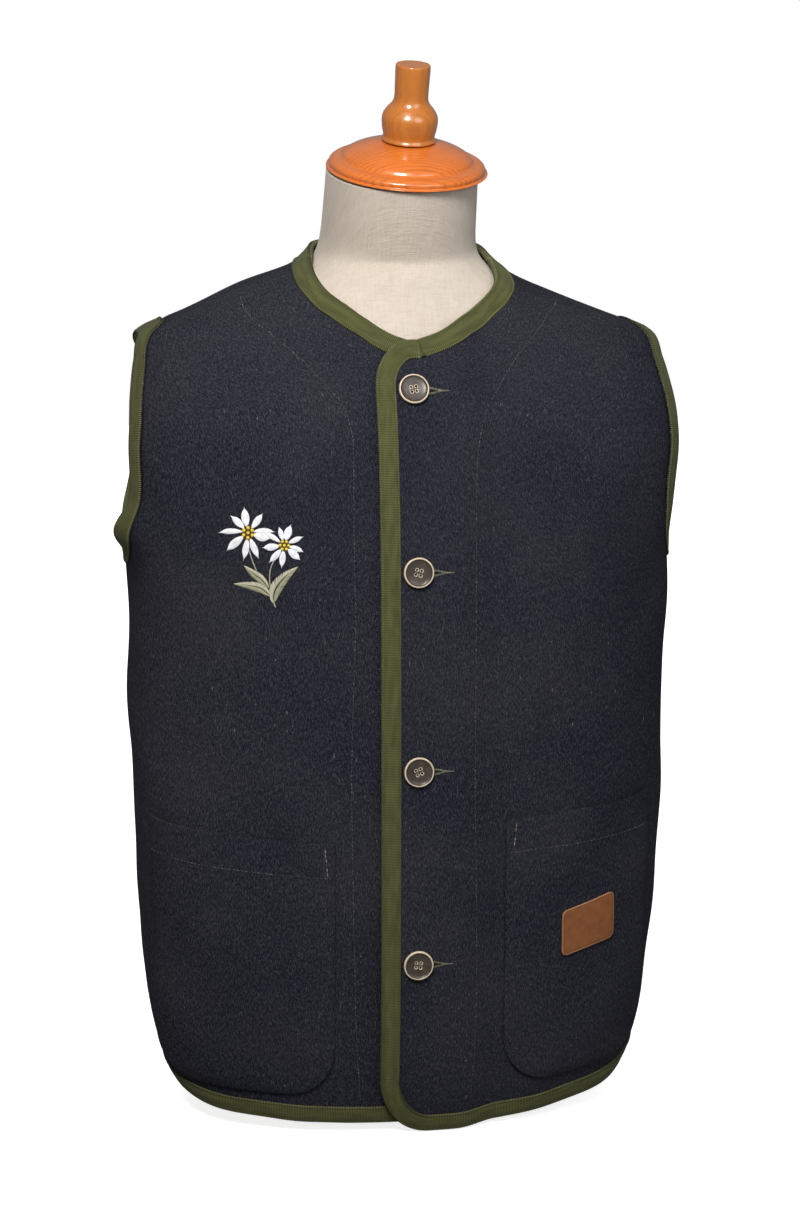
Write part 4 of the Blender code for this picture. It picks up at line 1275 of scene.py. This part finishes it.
BUTTON_X = -0.0055
BUTTON_HEIGHTS = (0.593, 0.457, 0.3015, 0.146)
HOLE_START = 0.006  # from the button's centre
HOLE_NARROWS = 0.0115
HOLE_CLOSED = 0.0205
HOLE_END = 0.0280
HOLE_DROP = 0.0008  # below the button's centre
HOLE_GAPE = 0.0019
HOLE_SHUT = 0.00035
PURL_STEP = 0.00062
PURL_RADIUS = 0.00030
PURL_POINTS = 5
PURL_STRAY = 0.0002
PURL_ROOM = 0.0001
BAR_PURL_STEP = 0.9  # share of the lips' step
BAR_LAP = 0.0006  # of the bar over the closed end
LIP_PURL = (0.00085, 0.0004)  # half its length over the lip, and how high it arches
BAR_PURL = (0.00095, 0.0005)
HOLE_THREAD_LOW = (0.0500, 0.0530, 0.0330, 1)
HOLE_THREAD_HIGH = (0.2300, 0.2300, 0.1500, 1)
# The slit's painted shadow, and the lighter flecks in it.
SLIT_SHADOW = (0.0035, 0.0035, 0.0050, 1)
SLIT_SHADOW_FLECK = (0.0090, 0.0090, 0.0110, 1)
SLIT_ROOM = 0.00012
SLIT_THICK = 0.00008


def over_front_points(across, height, off):
    place = np.stack([angle_of(across, height), np.broadcast_to(height, np.shape(across))], axis=-1)
    return cloth(place, 1, True, off)


def purl(bm, across, height, half_length, arch, tone):
    """One stitch of a buttonhole, upright over its lip, from where each of its points lies across."""
    share = np.linspace(-1, 1, PURL_POINTS)
    rise = arch * (1 - share**2) + PURL_ROOM
    points = [over_front_points(at, height + step, CLOTH + up)
              for at, step, up in zip(across, half_length * share, rise)]
    add_strand(bm, points, PURL_RADIUS, tone, sides=5)


HOLE_THREAD = thread_finish("buttonhole_thread", HOLE_THREAD_LOW, HOLE_THREAD_HIGH)
# Painted shadow: a thin dark sheet lies on the wool where each slit gapes, a little flecked.
slit_shadow_finish = Finish("slit_shadow", SLIT_SHADOW[:3], 1.0)
shadow_fleck = slit_shadow_finish.noise(slit_shadow_finish.place("Object"), 900.0)
slit_shadow_finish.link(**{"Base Color": slit_shadow_finish.mix(shadow_fleck, SLIT_SHADOW, SLIT_SHADOW_FLECK)})
for number, button_height in enumerate(BUTTON_HEIGHTS, 1):
    worked = bmesh.new()
    height = button_height - HOLE_DROP
    run = np.linspace(HOLE_START, HOLE_CLOSED, 40)
    gape = np.clip((HOLE_CLOSED - run) / (HOLE_CLOSED - HOLE_NARROWS), 0, 1)
    gape = HOLE_GAPE * gape**0.8 + HOLE_SHUT
    for lip in (-1, 1):
        for at in np.arange(HOLE_START, HOLE_CLOSED, PURL_STEP):
            across = [BUTTON_X + at + PURL_STRAY * dice.normal() for _ in range(PURL_POINTS)]
            purl(worked, across, height + lip * np.interp(at, run, gape), *LIP_PURL, dice.uniform(0.2, 0.9))
    for at in np.arange(HOLE_CLOSED - BAR_LAP, HOLE_END, PURL_STEP * BAR_PURL_STEP):
        half_length, arch = BAR_PURL
        half_length *= 1.15 - 0.75 * (at - HOLE_CLOSED) / (HOLE_END - HOLE_CLOSED)
        purl(worked, [BUTTON_X + at] * PURL_POINTS, height, half_length, arch, dice.uniform(0.3, 1.0))
    thread_piece(f"buttonhole_{number}", worked, HOLE_THREAD)
    # A thin dark sheet in the slit, as its painted shadow.
    slit_shadow = bmesh.new()
    share = np.linspace(-1, 1, 5)[None]
    across = BUTTON_X + run[:, None] + 0 * share
    lay_grid(slit_shadow, over_front_points(across, height + gape[:, None] * share, CLOTH + SLIT_ROOM))
    shadow = finished_piece(f"buttonhole_slit_{number}", slit_shadow, slit_shadow_finish.material)
    thicken(shadow, SLIT_THICK, offset=-1)


# ================================================================ Horn buttons
# Four-hole buttons turned from dark horn, with fine turning rings on the dished face, a pale rim that is
# partly worn and partly painted highlight, and a painted highlight round each hole. Each is sewn on with
# a shank long enough to lie over the wool.

BUTTON_RADIUS = 0.0118
BUTTON_THICK = 0.0040
BUTTON_ROOM = 0.0006
BUTTON_HOLE = 0.00105
BUTTON_HOLE_AT = 0.00190
BUTTON_TURNS = (8, -14, 20, -6)
TURNING_PITCH = 0.00055
HORN_RELIEF = 0.00005
PALE_RIM = (0.01035, 0.01085)  # the radii where the pale rim, partly wear and partly painted highlight, begins and is full
HOLE_RING = (0.00055, 0.00025)  # past a hole's edge, where its painted highlight ring begins and is full
HOLE_WALL = (0.00025, 0.0001)  # and inside it, where the ring ends
BUTTON_PROFILE = (
    # share of the radius, share of the thickness: the dished face, the rim, the underside
    (0.00, 0.58),
    (0.30, 0.58),
    (0.62, 0.62),
    (0.80, 0.74),
    (0.865, 0.90),
    (0.90, 0.98),
    (0.94, 1.00),
    (0.985, 0.90),
    (1.00, 0.70),
    (0.985, 0.40),
    (0.93, 0.10),
    (0.85, 0.00),
    (0.00, 0.00),
)
HORN_DARK = (0.0120, 0.0080, 0.0065, 1)
HORN_GREY = (0.0420, 0.0300, 0.0260, 1)
HORN_PALE = (0.6800, 0.5600, 0.4000, 1)
SHANK_CROSSING = (
    # share of the way to a hole's middle, height: one strand, down through two holes
    (-0.60, -0.0004),
    (-0.56, 0.0014),
    (-0.42, 0.0023),
    (0.00, 0.0025),
    (0.42, 0.0023),
    (0.56, 0.0014),
    (0.60, -0.0004),
)
SHANK_RADIUS = 0.00019
SHANK_SPREAD = 0.00022
SHANK_THREAD = (0.0500, 0.0460, 0.0380, 1)


def horn_finish():
    """Dark streaked horn. Its UV is the button's own face, in metres from its centre."""
    horn = Finish("dark_horn", HORN_GREY[:3], 0.35)
    at = horn.place()
    radius = horn.vector("LENGTH", at, output="Value")
    cloud = horn.noise(horn.place("Object"), 160.0, 3.0, 0.6, 0.8)
    inputs = {"Vector": at, "Scale": WAVE / TURNING_PITCH, "Distortion": 0.6, "Detail": 1.0}
    rings = horn.node("ShaderNodeTexWave", inputs, wave_type="RINGS", rings_direction="Z").outputs["Fac"]
    face = horn.mix(horn.between(cloud, 0.35, 0.68), HORN_DARK, HORN_GREY)
    face = horn.mix(horn.sum("MULTIPLY", rings, 0.07), face, HORN_PALE)
    wear = horn.noise(horn.place("Object"), 240.0, 2.0)
    # The pale rim is partly wear and partly a painted highlight on its crest, made patchy by the wear noise.
    rim_wear_and_highlight = horn.between(radius, *PALE_RIM)
    rim_wear_and_highlight = horn.sum("MULTIPLY", rim_wear_and_highlight, horn.between(wear, 0.2, 0.5, 0.75, 1.0))
    face = horn.mix(rim_wear_and_highlight, face, HORN_PALE)
    corner = horn.vector("ABSOLUTE", at)
    offset = horn.vector("SUBTRACT", corner, (BUTTON_HOLE_AT, BUTTON_HOLE_AT, 0))
    from_hole = horn.vector("LENGTH", offset, output="Value")
    # A painted highlight round the edge of each hole.
    hole_highlight = horn.between(from_hole, BUTTON_HOLE + HOLE_RING[0], BUTTON_HOLE + HOLE_RING[1], 0.0, 0.95)
    wall = horn.between(from_hole, BUTTON_HOLE - HOLE_WALL[0], BUTTON_HOLE - HOLE_WALL[1])
    hole_highlight = horn.sum("MULTIPLY", hole_highlight, wall)
    horn.link(**{"Base Color": horn.mix(hole_highlight, face, HORN_PALE)})
    horn.link(Normal=horn.bump(horn.sum("ADD", rings, cloud), HORN_RELIEF, 0.6))
    horn.set(**{"Coat Weight": 0.20, "Coat Roughness": 0.25})
    return horn.material


def button_blank():
    """One button in its own frame, facing +Z, with its four holes drilled."""
    shape = turned([(BUTTON_RADIUS * r, BUTTON_THICK * t) for r, t in BUTTON_PROFILE], 60, 64)
    drills = bmesh.new()
    for x in (-1, 1):
        for y in (-1, 1):
            at = Matrix.Translation((x * BUTTON_HOLE_AT, y * BUTTON_HOLE_AT, BUTTON_THICK / 2))
            bmesh.ops.create_cone(drills, cap_ends=True, segments=20, radius1=BUTTON_HOLE,
                                  radius2=BUTTON_HOLE, depth=2 * BUTTON_THICK, matrix=at)
    helpers = []
    for name, bm in (("blank", shape), ("drills", drills)):
        mesh = bpy.data.meshes.new(name)
        bm.to_mesh(mesh)
        bm.free()
        helpers.append(bpy.data.objects.new(name, mesh))
        bpy.context.scene.collection.objects.link(helpers[-1])
    cut = helpers[0].modifiers.new("Holes", "BOOLEAN")
    cut.object = helpers[1]
    cut.operation = "DIFFERENCE"
    bpy.context.view_layer.update()
    depsgraph = bpy.context.evaluated_depsgraph_get()
    drilled = bpy.data.meshes.new_from_object(helpers[0].evaluated_get(depsgraph))
    for helper in helpers:
        bpy.data.objects.remove(helper)
    return drilled


BUTTON_THREAD = thread_finish("button_thread", THREAD_DARK, SHANK_THREAD)
HORN = horn_finish()
blank = button_blank()
for number, (height, turned_by) in enumerate(zip(BUTTON_HEIGHTS, BUTTON_TURNS), 1):
    place = np.array([angle_of(BUTTON_X, height), height])
    spot = Vector(cloth(place, 1, True, CLOTH + BUTTON_ROOM))
    lean = Vector(outward(place)).to_track_quat("Z", "Y").to_matrix().to_4x4()
    seat = Matrix.Translation(spot) @ lean @ Matrix.Rotation(radians(turned_by), 4, "Z")
    bm = bmesh.new()
    bm.from_mesh(blank)
    uv_layer = bm.loops.layers.uv.verify()
    for face in bm.faces:
        for loop in face.loops:
            loop[uv_layer].uv = loop.vert.co.xy
    bmesh.ops.transform(bm, matrix=seat, verts=bm.verts)
    horn_button = finished_piece(f"horn_button_{number}", bm, HORN)
    horn_button.data.set_sharp_from_angle(angle=radians(40))
    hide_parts(f"button_{number}")
    shank = bmesh.new()
    for x in (-1, 1):
        for spread in (-SHANK_SPREAD, SHANK_SPREAD):
            points = [seat @ Vector((x * BUTTON_HOLE_AT + spread, y * BUTTON_HOLE_AT, z))
                      for y, z in SHANK_CROSSING]
            add_strand(shank, through(points, 16), SHANK_RADIUS, dice.uniform(0.2, 1.0), ends=0.8)
    thread_piece(f"button_thread_{number}", shank, BUTTON_THREAD)


# ================================================================ Leather label
# A blank patch of smooth cognac leather on the left pocket, cut with rounded corners and pressed
# with one line close inside its pale raw edge.

LABEL_SIZE = (0.047, 0.037)
LABEL_CORNER = 0.004
LABEL_AT = (0.135, 0.1670)
LABEL_SLANT = 13
LABEL_ROOM = 0.0006
LEATHER = 0.0018
LABEL_COLUMNS = 48
LABEL_ROUNDING = 0.0004
COGNAC = (0.2500, 0.0850, 0.0220, 1)
COGNAC_DARK = (0.1300, 0.0400, 0.0100, 1)
COGNAC_EDGE = (0.4200, 0.2200, 0.1000, 1)
PRESSED_IN = 0.0014
PRESSED_WIDTH = 0.00045
RAW_EDGE = (0.0007, 0.0001)  # from the edge, where the pale raw leather begins and is full
LEATHER_RELIEF = 0.0004


def leather_finish():
    """Smooth leather. Its UV is the patch's own face, in metres from its centre."""
    leather = Finish("cognac_leather", COGNAC[:3], 0.5)
    at = leather.place()
    half = (LABEL_SIZE[0] / 2 - LABEL_CORNER, LABEL_SIZE[1] / 2 - LABEL_CORNER, 0)
    beyond = leather.vector("SUBTRACT", leather.vector("ABSOLUTE", at), half)
    reach = leather.vector("LENGTH", leather.vector("MAXIMUM", beyond, (0, 0, 0)), output="Value")
    to_line = leather.sum("ABSOLUTE", leather.sum("SUBTRACT", reach, LABEL_CORNER - PRESSED_IN))
    pressed = leather.between(to_line, 0.0, PRESSED_WIDTH, 1.0, 0.0)
    raw = leather.between(reach, LABEL_CORNER - RAW_EDGE[0], LABEL_CORNER - RAW_EDGE[1])
    grain = leather.node("ShaderNodeTexVoronoi", {"Vector": at, "Scale": 1500.0}, feature="DISTANCE_TO_EDGE")
    pores = leather.between(grain.outputs["Distance"], 0.0, 0.12, 1.0, 0.0)
    cloud = leather.noise(at, 130.0, 3.0, 0.6)
    colour = leather.mix(leather.between(cloud, 0.35, 0.7, 0.0, 0.6), COGNAC, COGNAC_DARK)
    colour = leather.mix(leather.sum("MULTIPLY", pores, 0.25), colour, COGNAC_DARK)
    colour = leather.mix(leather.sum("MULTIPLY", pressed, 0.7), colour, COGNAC_DARK)
    leather.link(**{"Base Color": leather.mix(leather.sum("MULTIPLY", raw, 0.8), colour, COGNAC_EDGE)})
    leather.link(Roughness=leather.between(cloud, 0.3, 0.7, 0.42, 0.6))
    relief = leather.sum("ADD", leather.sum("MULTIPLY", pressed, 1.0), leather.sum("MULTIPLY", pores, 0.12))
    leather.link(Normal=leather.bump(leather.sum("SUBTRACT", 1.0, relief), LEATHER_RELIEF, 0.8))
    return leather.material


across, up = rounded_patch(*LABEL_SIZE, LABEL_CORNER, LABEL_CORNER, LABEL_COLUMNS, turn_rows=7, rows=26)
across, up = across - LABEL_SIZE[0] / 2, up - LABEL_SIZE[1] / 2
distance = LABEL_AT[0] + across
height = LABEL_AT[1] + across * tan(radians(LABEL_SLANT)) + up
stand = pocket_stand(1, distance - POCKETS[1].inner, height - POCKETS[1].bottom)
points = cloth(on_front(distance, height), 1, True, stand + CLOTH + LABEL_ROOM)
bm = bmesh.new()
lay_grid(bm, points, np.stack([across, up], axis=-1))
leather_label = finished_piece("leather_label", bm, leather_finish())
thicken(leather_label, LEATHER)
round_edges(leather_label, LABEL_ROUNDING, 2)
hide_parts("label")


# ================================================================ Embroidered sprig
# Two edelweiss flowers, worked in floss on the right chest: long white stitches padded to a ridge
# on each petal, yellow knots on a brown ground, and stems and leaves in grey-green.

SPRIG_AT = (0.1346, 0.4885)  # the larger flower's centre, along the front and up it
MIDLINE_POINTS = 24
FLOSS = 0.00026
PETAL_FLOSS = FLOSS * 1.05
FLOSS_SPACE = 0.00044
PETAL_ROOT = 0.72  # shares of a disc's radius, from its centre
KNOT_RING = 0.64
KNOT_SIZE = 0.25
KNOTS_ROUND = 6
KNOT_FLOSS = 0.00042
BEAD_FLOSS = 0.00048
STEM_FLOSS = 0.00030
LEAF_SPAN = (0.015, 0.965)  # the shares of a midrib where its first and last stitches begin
PETAL_LIFT = (0.12, 0.55, 0.16)  # millimetres: of every stitch, of the padding, of each stitch's arch
LEAF_LIFT = (0.12, 0.42)
FLOWERS = (
    # centre, disc radius, petals as (direction, length, width, bend), in millimetres and degrees
    ((0.0, 0.0), 5.9, (
        (101, 20, 6.8, -8), (51, 19, 5.6, 4), (10, 21, 4.8, -22), (-18, 18, 7.4, 10), (-70, 22, 5.6, 6),
        (-98, 22, 5.6, -6), (-143, 23, 6.8, 8), (172, 24, 4.8, 24), (133, 19, 5.8, 8),
    )),
    ((27.3, -9.5), 5.0, (
        (104, 15, 4.4, 4), (74, 17, 6.4, -6), (27, 16, 4.4, -6), (-14, 16, 4.6, -18), (-45, 17, 6.2, 4),
        (-99, 18, 5.2, 4), (-129, 18, 5.2, -6), (-172, 17, 6.0, -4), (142, 19, 4.2, 10),
    )),
)
STEMS = (
    # points from the flower down, in millimetres from the larger flower's centre
    ((0.5, -12.0), (2.5, -20.0), (6.0, -29.0)),
    ((23.0, -16.0), (18.0, -24.0), (16.0, -32.0), (16.2, -42.0)),
)
STEM_FOOT = ((16.2, -42.0), (17.5, -50.0), (20.0, -58.0))
STEM_WIDTH = 0.5
STEM_FOOT_WIDTH = 0.9
LEAVES = (
    # points of the midrib from the leaf's base to its tip, and its greatest width
    (((16.5, -49.0), (9.0, -43.0), (0.0, -41.0), (-12.0, -40.0)), 7.6),
    (((15.5, -43.0), (9.5, -36.0), (3.0, -31.0), (-3.5, -25.5)), 6.6),
    (((18.0, -55.0), (20.0, -44.0), (27.0, -34.5), (37.5, -26.0)), 9.4),
)
FLOSS_WHITE = (0.9400, 0.9400, 0.9600, 1)
FLOSS_SHADE = (0.5000, 0.5400, 0.6800, 1)
FLOSS_YELLOW = (0.9000, 0.7200, 0.0300, 1)
FLOSS_OCHRE = (0.6000, 0.4000, 0.0100, 1)
FLOSS_BROWN = (0.1000, 0.0380, 0.0080, 1)
FLOSS_BROWN_DARK = (0.0300, 0.0120, 0.0040, 1)
FLOSS_SAGE = (0.2000, 0.2100, 0.1100, 1)
FLOSS_GREY_GREEN = (0.6200, 0.5800, 0.4500, 1)


def on_chest(points, lift):
    """Points of the design, in millimetres, laid on the right front and lifted off it."""
    points = np.asarray(points, float) / 1000
    place = on_front(SPRIG_AT[0] - points[..., 0], SPRIG_AT[1] + points[..., 1])
    return cloth(place, -1, False, CLOTH + np.asarray(lift) / 1000)


def midline(start, direction, length, bend):
    """A line that sets out in one direction and turns evenly by its bend, in degrees."""
    turn = np.radians(direction + np.linspace(0, bend, MIDLINE_POINTS))
    steps = np.stack([np.cos(turn), np.sin(turn)], axis=-1) * length / (MIDLINE_POINTS - 1)
    return np.asarray(start) + np.concatenate([[[0, 0]], np.cumsum(steps[:-1], axis=0)])


def across_of(line):
    along = unit(np.gradient(line, axis=0))
    return np.stack([-along[:, 1], along[:, 0]], axis=-1)


def stitch_petal(bm, start, direction, length, width, bend):
    """Long stitches side by side from the flower's centre to the petal's tip, two in each row."""
    line = midline(start, direction, length, bend)
    across = across_of(line)
    share = np.linspace(0, 1, len(line))
    swell = np.sin(pi * np.minimum(share / 0.98, 1) ** 1.05)  # widest near its middle
    half = width / 2 * (0.14 + 0.80 * swell) * (1 - share**5)
    count = max(5, round(width / (FLOSS_SPACE * 1000)))
    for row in range(count):
        at = (row + 0.5) / count * 2 - 1
        reach = 1.0 - 0.16 * abs(at) - 0.04 * dice.random()
        split = dice.uniform(0.38, 0.62)
        for first, last in ((0.0, split + 0.03), (split - 0.03, reach)):
            here = np.linspace(first, last, 7) * (len(line) - 1)
            out = at * np.interp(here, np.arange(len(line)), half)
            points = picked(line, here) + picked(across, here) * out[:, None]
            arch = 1 - np.linspace(-1, 1, 7) ** 4
            lift = PETAL_LIFT[0] + PETAL_LIFT[1] * (1 - at * at) + PETAL_LIFT[2] * arch
            tone = np.clip(0.95 - 0.30 * abs(at) ** 3 + dice.normal() * 0.10, 0, 1)
            add_strand(bm, on_chest(points, lift), PETAL_FLOSS, tone, ends=0.45)


def stitch_disc(bm, centre, radius):
    """A round ground of short stitches laid across."""
    for offset in np.arange(-radius + 0.3, radius, FLOSS_SPACE * 1000):
        reach = np.sqrt(max(radius**2 - offset**2, 0.04))
        points = np.stack([np.linspace(-reach, reach, 8), np.full(8, offset)], axis=-1) + centre
        lift = 0.35 + 0.35 * (1 - np.linspace(-1, 1, 8) ** 4)
        add_strand(bm, on_chest(points, lift), FLOSS, dice.uniform(0.1, 1.0))


def tie_knot(bm, centre, size):
    """A French knot: floss wound twice round the needle, and the bead that it leaves on top."""
    for turn_radius, height in ((size * 0.62, 0.85), (size * 0.52, 1.25)):
        turn = np.linspace(0, 2 * pi, 14) + dice.uniform(0, 6)
        points = np.stack([np.cos(turn), np.sin(turn)], axis=-1) * turn_radius + centre
        add_strand(bm, on_chest(points, height), KNOT_FLOSS, dice.uniform(0.55, 1.0), ends=0.9)
    points = np.asarray(centre) + np.array([[-0.55, 0.1], [-0.2, 0.0], [0.2, 0.0], [0.55, -0.1]]) * size
    add_strand(bm, on_chest(points, [1.2, 1.6, 1.6, 1.2]), BEAD_FLOSS, 1.0)


def at_turn(centre, radius, turn):
    return np.asarray(centre) + radius * np.array([cos(turn), sin(turn)])


white, ground, knots = bmesh.new(), bmesh.new(), bmesh.new()
for centre, disc, petals in FLOWERS:
    for direction, length, width, bend in petals:
        start = at_turn(centre, disc * PETAL_ROOT, radians(direction))
        stitch_petal(white, start, direction, length - disc * PETAL_ROOT, width, bend)
    stitch_disc(ground, centre, disc)
    tie_knot(knots, np.asarray(centre, float), disc * KNOT_SIZE)
    first_turn = 0.5 if centre[0] == 0 else 0.0
    for place in range(KNOTS_ROUND):
        turn = 2 * pi / KNOTS_ROUND * (place + first_turn) + dice.uniform(-0.08, 0.08)
        tie_knot(knots, at_turn(centre, disc * KNOT_RING, turn), disc * KNOT_SIZE)
thread_piece("white_petals", white, thread_finish("white_floss", FLOSS_SHADE, FLOSS_WHITE, 0.5))
thread_piece("flower_discs", ground, thread_finish("brown_floss", FLOSS_BROWN_DARK, FLOSS_BROWN))
thread_piece("flower_knots", knots, thread_finish("yellow_floss", FLOSS_OCHRE, FLOSS_YELLOW))


def stitch_stem(bm, points, width):
    """Stem stitch: short strands that overlap, each a little slanted."""
    line = through(points, 60)
    across = across_of(line)
    run = run_of(line)
    slant = np.linspace(-width / 2, width / 2, 6)[:, None]
    lift = 0.15 + 0.25 * (1 - np.linspace(-1, 1, 6) ** 4)
    for start in np.arange(0, run[-1] - 1.2, 1.3):
        at = np.linspace(start, min(start + 3.4, run[-1]), 6)
        points = picked(line, at, run) + picked(across, at, run) * slant
        add_strand(bm, on_chest(points, lift), STEM_FLOSS, dice.uniform(0.45, 0.85))


def stitch_leaf(bm, points, width):
    """Slanted stitches from a midrib out to both edges: the upper half pale, the lower half green."""
    line = through(points, 80)
    across = across_of(line)
    share = np.linspace(0, 1, len(line))
    half = width / 2 * np.sin(pi * share**0.85) ** 0.85
    upper = 1 if across[40, 1] > 0 else -1
    length = np.linalg.norm(np.diff(line, axis=0), axis=1).sum()
    for side in (-1, 1):
        for start in np.arange(*LEAF_SPAN, FLOSS_SPACE * 1000 / length):
            end = min(start + 0.10 + 0.03 * dice.random(), 0.995)
            at = np.linspace(start, end, 6) * (len(line) - 1)
            reach = np.interp(at[-1], np.arange(len(line)), half) * np.linspace(0.06, 1, 6) * side
            points = picked(line, at) + picked(across, at) * reach[:, None]
            lift = LEAF_LIFT[0] + LEAF_LIFT[1] * (1 - np.linspace(-0.8, 1, 6) ** 2)
            shade = (0.80 if side == upper else 0.30) + dice.normal() * 0.10
            add_strand(bm, on_chest(points, lift), FLOSS, np.clip(shade, 0, 1), ends=0.45)


green = bmesh.new()
for points in STEMS:
    stitch_stem(green, points, STEM_WIDTH)
for points, width in LEAVES:
    stitch_leaf(green, points, width)
stitch_stem(green, STEM_FOOT, STEM_FOOT_WIDTH)
thread_piece("leaves_and_stems", green, thread_finish("sage_floss", FLOSS_SAGE, FLOSS_GREY_GREEN))


# ================================================================ Studio
# A plain pale floor under a white sky. A close key light stands on the left and a weak fill on the
# right, with one broad soft light overhead and one that whitens the floor behind.

CAMERA_AZIMUTH = -9.5
CAMERA_PITCH = 8.85
CAMERA_DISTANCE = 1.99
CAMERA_HEIGHT = 0.72
FOCAL_SHARE = 2439 / 1213  # focal length over the frame's height
FRAME_SHIFT = 3.5 / 1213
SENSOR = 36.0
FLOOR_SIZE = 14.0
FLOOR_GLOW = 0.80
FLOOR_WHITE = (0.92, 0.92, 0.91, 1)
FLOOR_SHADE = (0.88, 0.88, 0.87, 1)
SKY_LIGHT = 0.22  # what the sky gives to the pieces, and below it what the camera sees of it
SKY_SEEN = 1.0
BROAD_LIGHT = 2  # lights from this size up leave no glint

bm = bmesh.new()
bmesh.ops.create_grid(bm, x_segments=1, y_segments=1, size=FLOOR_SIZE / 2)
mesh = bpy.data.meshes.new("floor")
bm.to_mesh(mesh)
bm.free()
floor = bpy.data.objects.new("floor", mesh)
bpy.context.scene.collection.objects.link(floor)
plaster = Finish("pale_floor", (0.90, 0.90, 0.89), 0.8)
mottle = plaster.noise(plaster.place("Object"), 3.0, 4.0)
plaster.link(**{"Base Color": plaster.mix(mottle, FLOOR_WHITE, FLOOR_SHADE)})
plaster.set(**{"Emission Color": (1.0, 1.0, 1.0, 1), "Emission Strength": FLOOR_GLOW})
mesh.materials.append(plaster.material)
floor.visible_diffuse = False
floor.visible_glossy = False

LIGHTS = (
    # name, place, aim, size, watts, colour
    ("overhead", (0.0, -1.0, 4.0), (0.0, -0.2, 0.0), 5.0, 14, (1.0, 0.99, 0.97)),
    ("backdrop", (0.0, 4.5, 4.0), (0.0, 4.0, 0.0), 5.0, 150, (1.0, 1.0, 1.0)),
    ("key", (-0.42, -1.38, 1.50), (0.0, -0.05, 0.68), 0.5, 28, (1.0, 0.97, 0.93)),
    ("fill", (0.9, -1.9, 1.35), (0.0, 0.0, 0.55), 1.2, 12, (0.96, 0.98, 1.0)),
)
for name, at, aim, size, watts, colour in LIGHTS:
    lamp = bpy.data.lights.new(name, "AREA")
    lamp.shape = "DISK"
    lamp.size = size
    lamp.energy = watts
    lamp.color = colour
    light = bpy.data.objects.new(name, lamp)
    light.location = at
    light.rotation_euler = (Vector(at) - Vector(aim)).to_track_quat("Z", "Y").to_euler()
    light.visible_camera = False
    light.visible_glossy = size < BROAD_LIGHT
    bpy.context.scene.collection.objects.link(light)

world = bpy.data.worlds.new("studio")
world.use_nodes = True
backdrop = world.node_tree.nodes["Background"]
backdrop.inputs["Color"].default_value = (1.0, 1.0, 1.0, 1.0)
seen = world.node_tree.nodes.new("ShaderNodeLightPath")
level = world.node_tree.nodes.new("ShaderNodeMapRange")
level.inputs["To Min"].default_value = SKY_LIGHT
level.inputs["To Max"].default_value = SKY_SEEN
world.node_tree.links.new(seen.outputs["Is Camera Ray"], level.inputs["Value"])
world.node_tree.links.new(level.outputs[0], backdrop.inputs["Strength"])
bpy.context.scene.world = world
bpy.context.scene.view_settings.view_transform = "Standard"

lens = bpy.data.cameras.new("camera")
lens.sensor_width = SENSOR
lens.lens = SENSOR * FOCAL_SHARE
lens.shift_x = FRAME_SHIFT
camera = bpy.data.objects.new("camera", lens)
azimuth, pitch = radians(CAMERA_AZIMUTH), radians(CAMERA_PITCH)
camera.location = (sin(azimuth) * CAMERA_DISTANCE, -cos(azimuth) * CAMERA_DISTANCE, CAMERA_HEIGHT)
back = Vector((sin(azimuth) * cos(pitch), -cos(azimuth) * cos(pitch), sin(pitch)))
camera.rotation_euler = back.to_track_quat("Z", "Y").to_euler()
bpy.context.scene.collection.objects.link(camera)
bpy.context.scene.camera = camera
